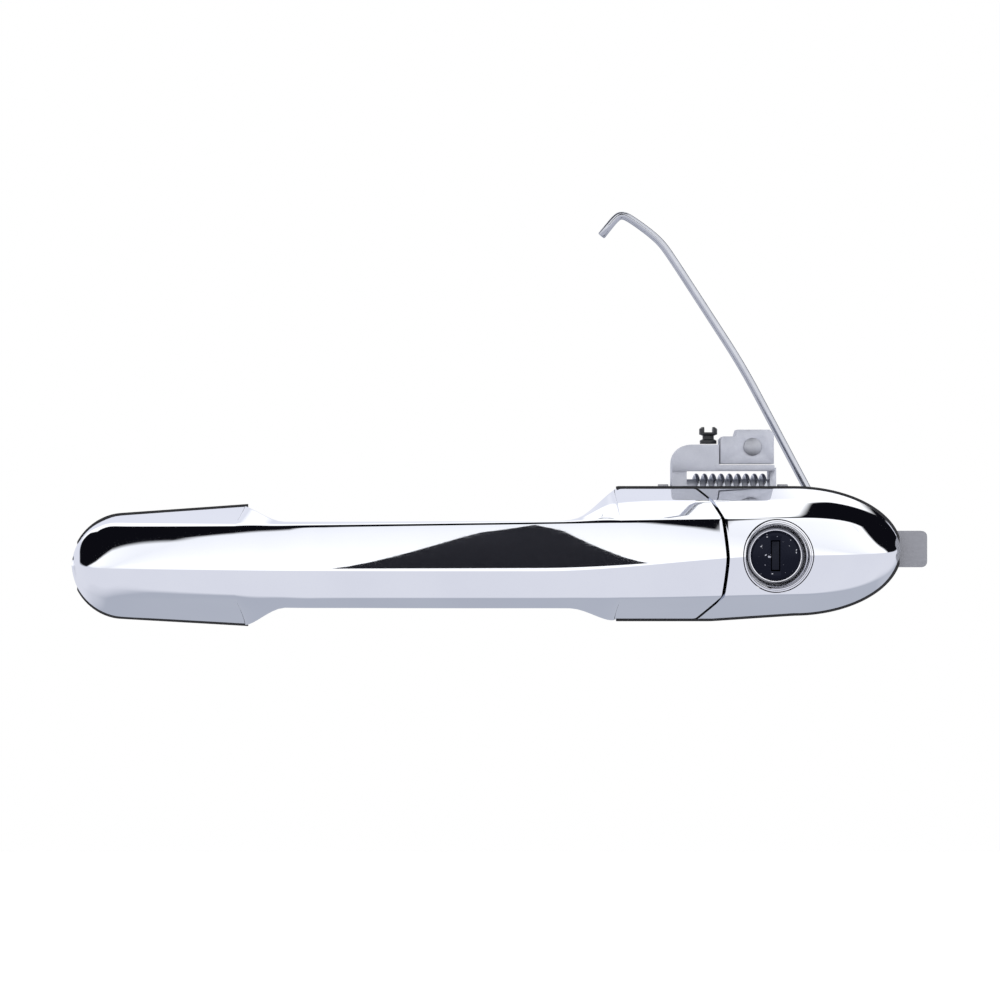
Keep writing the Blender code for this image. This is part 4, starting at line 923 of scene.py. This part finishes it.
# Zinc die casting: crank, counterweight and lock housing, as cast and tumbled. Light grey with a soft
# sheen, a fine pitted skin, and slow patches where the melt met.
def die_cast():
    material, tree, shader = blank_finish("tumbled_zinc", metallic=0.75)
    place = add(tree, "ShaderNodeTexCoord").outputs["Object"]
    pits = add(
        tree, "ShaderNodeTexNoise", {"Vector": place, "Scale": 1 / (0.35 * MM), "Detail": 6.0}
    ).outputs[0]
    melt = add(
        tree, "ShaderNodeTexNoise", {"Vector": place, "Scale": 1 / (5 * MM), "Detail": 4.0, "Distortion": 0.6}
    ).outputs[0]
    colour = add(
        tree, "ShaderNodeMix", {0: melt, 6: linear("#B4B7C2"), 7: linear("#CBCDD6")}, data_type="RGBA"
    ).outputs[2]
    tree.links.new(colour, shader.inputs["Base Color"])
    rough = add(tree, "ShaderNodeMapRange", {0: pits, 1: 0.3, 2: 0.7, 3: 0.38, 4: 0.6}).outputs[0]
    tree.links.new(rough, shader.inputs["Roughness"])
    bump = add(tree, "ShaderNodeBump", {"Height": pits, "Strength": 0.4, "Distance": 0.05 * MM}).outputs[0]
    tree.links.new(bump, shader.inputs["Normal"])
    return material


zinc = die_cast()
for name, node, body, width in (
    ("crank_casting", "bell_crank", "crank", 0.3),
    ("counterweight_block", "counterweight", "crank", 0.5),
    ("lock_barrel", "lock_housing", "carrier", 0.2),
):
    piece(name, refined(node, width), body, zinc, node)


# Zinc-plated steel: screws, pins, clips, lever, springs and rod. The plating is silvery with a cool
# passivated cast; drawn wire keeps fine lines along its length, and sheared plate a slight mottle.
def plated(name, colours, roughness, grain=(1.0, 1.0, 1.0)):
    material, tree, shader = blank_finish(name, metallic=1.0)
    place = add(tree, "ShaderNodeTexCoord").outputs["Object"]
    lines = add(tree, "ShaderNodeMapping", {"Vector": place, "Scale": grain}).outputs[0]
    drawn = add(
        tree, "ShaderNodeTexNoise", {"Vector": lines, "Scale": 1 / (0.25 * MM), "Detail": 4.0}
    ).outputs[0]
    cast = add(
        tree, "ShaderNodeTexNoise", {"Vector": place, "Scale": 1 / (6 * MM), "Detail": 3.0}
    ).outputs[0]
    colour = add(
        tree, "ShaderNodeMix", {0: cast, 6: linear(colours[0]), 7: linear(colours[1])}, data_type="RGBA"
    ).outputs[2]
    tree.links.new(colour, shader.inputs["Base Color"])
    low, high = roughness
    rough = add(tree, "ShaderNodeMapRange", {0: drawn, 1: 0.3, 2: 0.7, 3: low, 4: high}).outputs[0]
    tree.links.new(rough, shader.inputs["Roughness"])
    bump = add(tree, "ShaderNodeBump", {"Height": drawn, "Strength": 0.2, "Distance": 0.02 * MM}).outputs[0]
    tree.links.new(bump, shader.inputs["Normal"])
    return material


steel = plated("zinc_plated_steel", ("#A9ACB4", "#C2C4CA"), (0.2, 0.34))
# This dark steel is painted shade: the keyway shutter is coloured near black to stand in for the shade deep
# inside the keyway.
keyway_shade_steel = plated("painted_keyway_shade", ("#1E2028", "#2B2D36"), (0.3, 0.5))
rivet_steel = plated("tumbled_rivet_steel", ("#B4B6BE", "#C8CAD0"), (0.5, 0.65))
for name, node, body, width, finish in (
    ("front_pin", "hinge_pin", "carrier", 0.1, steel),
    ("crank_axle", "crank_pin", "carrier", 0.1, steel),
    ("cap_fixing", "cap_screw", "carrier", 0.12, steel),
    ("arm_fixing", "arm_screw", "grip", 0.12, steel),
    ("leg_fixing", "leg_screw", "grip", 0.12, steel),
    ("horseshoe_clip", "lock_clip", "carrier", 0.15, steel),
    ("block_rivet", "weight_rivet", "crank", 0.12, rivet_steel),
    ("rod_lever", "lock_lever", "plug", 0.25, steel),
    ("tail_clip", "lever_clip", "plug", 0.1, steel),
    # The shutter's near-black colour is painted shade for the inside of the keyway.
    ("keyway_flap", "key_shutter", "shutter", 0.08, keyway_shade_steel),
):
    piece(name, refined(node, width), body, finish, node)


# Springs and link rod: round wire with softly bent corners. The springs are bright spring steel and the
# rod is drawn and plated, so both carry fine lines from the drawing die.
WIRE_SIDES = 20


def wire(name, points, radius, body, material, node):
    """A round wire along a smooth route, with softly broken ends."""
    route = [Vector(point) for point in points]
    start, end = (route[1] - route[0]).normalized(), (route[-2] - route[-1]).normalized()
    ease = radius * 0.15
    route = [route[0], route[0] + start * ease] + route[1:-1] + [route[-1] + end * ease, route[-1]]
    columns = len(route) - 1
    bm = bmesh.new()
    bmesh.ops.create_grid(bm, x_segments=columns, y_segments=WIRE_SIDES, size=0.5)
    side = start.orthogonal().normalized()
    frames = []
    for i, point in enumerate(route):
        along = (route[min(i + 1, columns)] - route[max(i - 1, 0)]).normalized()
        side = (side - along * side.dot(along)).normalized()
        reach = radius - ease if i in (0, columns) else radius
        frames.append((point, side * reach, along.cross(side) * reach))
    for vert in bm.verts:
        point, side, across = frames[round((vert.co.x + 0.5) * columns)]
        turn = 2 * pi * (vert.co.y + 0.5)
        vert.co = point + side * cos(turn) + across * sin(turn)
    bmesh.ops.remove_doubles(bm, verts=bm.verts, dist=0.0005)
    bmesh.ops.holes_fill(bm, edges=[edge for edge in bm.edges if edge.is_boundary])
    piece(name, bm, body, material, node, sharp=50)


def rounded_route(points, radius, steps):
    """A route with each of its corners turned in a curve that starts a radius away."""
    route = [Vector(points[0])]
    for before, corner, after in zip(points, points[1:], points[2:]):
        before, corner, after = Vector(before), Vector(corner), Vector(after)
        enter = corner + (before - corner).normalized() * min(radius, (before - corner).length * 0.45)
        leave = corner + (after - corner).normalized() * min(radius, (after - corner).length * 0.45)
        route += [enter] + soft_corner(enter, corner, leave, steps) + [leave]
    return route + [Vector(points[-1])]


def helix(along, centre, radius, start, end, turns, first_angle):
    """The middle line of a coil round an axis along X or Y."""
    first, second, third = {"x": (1, 2, 0), "y": (0, 2, 1)}[along]
    points = []
    for i in range(turns * TURN_STEPS + 1):
        angle = radians(first_angle) + 2 * pi * i / TURN_STEPS
        point = [0.0, 0.0, 0.0]
        point[first] = centre[0] + radius * cos(angle)
        point[second] = centre[1] + radius * sin(angle)
        point[third] = start + (end - start) * i / (turns * TURN_STEPS)
        points.append(Vector(point))
    return points


TURN_STEPS = 32
SPRING_WIRE = 1.2
SPRING_RADIUS = 5.6
SPRING_TURNS = 9
CRANK_AXIS = (16.0, 19.5)
spring_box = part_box("crank_spring")
bright_wire = plated("bright_spring_wire", ("#B9BCC4", "#D0D2D8"), (0.12, 0.22), (0.1, 1.0, 1.0))
first, last = spring_box[0][0] / MM + SPRING_WIRE / 2, spring_box[1][0] / MM - SPRING_WIRE / 2
coil = helix("x", CRANK_AXIS, SPRING_RADIUS, first, last, SPRING_TURNS, 180.0)
x, y, z = coil[-1]
leg = [coil[-1], Vector((x, y - 2.4, z - 1.8)), Vector((x, spring_box[0][1] / MM + 0.05, z - 3.2))]
route = coil[:-1] + rounded_route(leg, 1.5, 5)
wire("crank_coil", route, SPRING_WIRE / 2, "carrier", bright_wire, "crank_spring")

PLUG_WIRE = 1.0
COIL_RADIUS = 4.4
COIL_TURNS = 5
coil_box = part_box("plug_spring")
first, last = coil_box[0][1] / MM + PLUG_WIRE / 2, coil_box[1][1] / MM - PLUG_WIRE / 2
coil = helix("y", LOCK, COIL_RADIUS, first, last, COIL_TURNS, 90.0)
wire("plug_coil", coil, PLUG_WIRE / 2, "carrier", bright_wire, "plug_spring")

ROD_Y = 40.0
ROD_BEND = 9.0
LEVER_END = (104.8, 9.0)
ROD_RADIUS = 1.25
rod_wire = plated("drawn_rod", ("#B0B3BB", "#C8CAD1"), (0.1, 0.2), (1.0, 1.0, 0.15))
x, z = LEVER_END
bends = [
    (x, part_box("link_rod")[0][1] / MM, z), (x, 37.7, z), (x - 0.2, ROD_Y - 0.9, z + 0.3),
    (x - 0.8, ROD_Y, z + 1.5), (97.7, ROD_Y, 22.4), (78.3, ROD_Y, 59.0), (56.0, ROD_Y, 93.4),
    (53.1, ROD_Y, 97.2), (49.4, ROD_Y, 100.4), (44.4, ROD_Y, 104.0), (41.8, ROD_Y, 105.4),
    (39.8, ROD_Y, 105.0), (35.0, ROD_Y, 99.0),
]
wire("latch_link", rounded_route(bends, ROD_BEND, 7), ROD_RADIUS, "rod", rod_wire, "link_rod")


# Brass inserts: threaded nuts moulded into the two fixing bosses. They are dull yellow and a little
# tarnished, with fine marks from turning.
def turned_brass():
    material, tree, shader = blank_finish("turned_brass", metallic=1.0)
    place = add(tree, "ShaderNodeTexCoord").outputs["Object"]
    tarnish = add(
        tree, "ShaderNodeTexNoise", {"Vector": place, "Scale": 1 / (2.5 * MM), "Detail": 4.0}
    ).outputs[0]
    colour = add(
        tree, "ShaderNodeMix", {0: tarnish, 6: linear("#B08D4C"), 7: linear("#D2B36E")}, data_type="RGBA"
    ).outputs[2]
    tree.links.new(colour, shader.inputs["Base Color"])
    marks = add(
        tree, "ShaderNodeTexNoise", {"Vector": place, "Scale": 1 / (0.2 * MM), "Detail": 3.0}
    ).outputs[0]
    rough = add(tree, "ShaderNodeMapRange", {0: marks, 1: 0.3, 2: 0.7, 3: 0.25, 4: 0.42}).outputs[0]
    tree.links.new(rough, shader.inputs["Roughness"])
    return material


brass = turned_brass()
for name, node in (("front_nut", "front_insert"), ("rear_nut", "rear_insert")):
    piece(name, refined(node, 0.12), "carrier", brass, node)


bpy.context.view_layer.update()
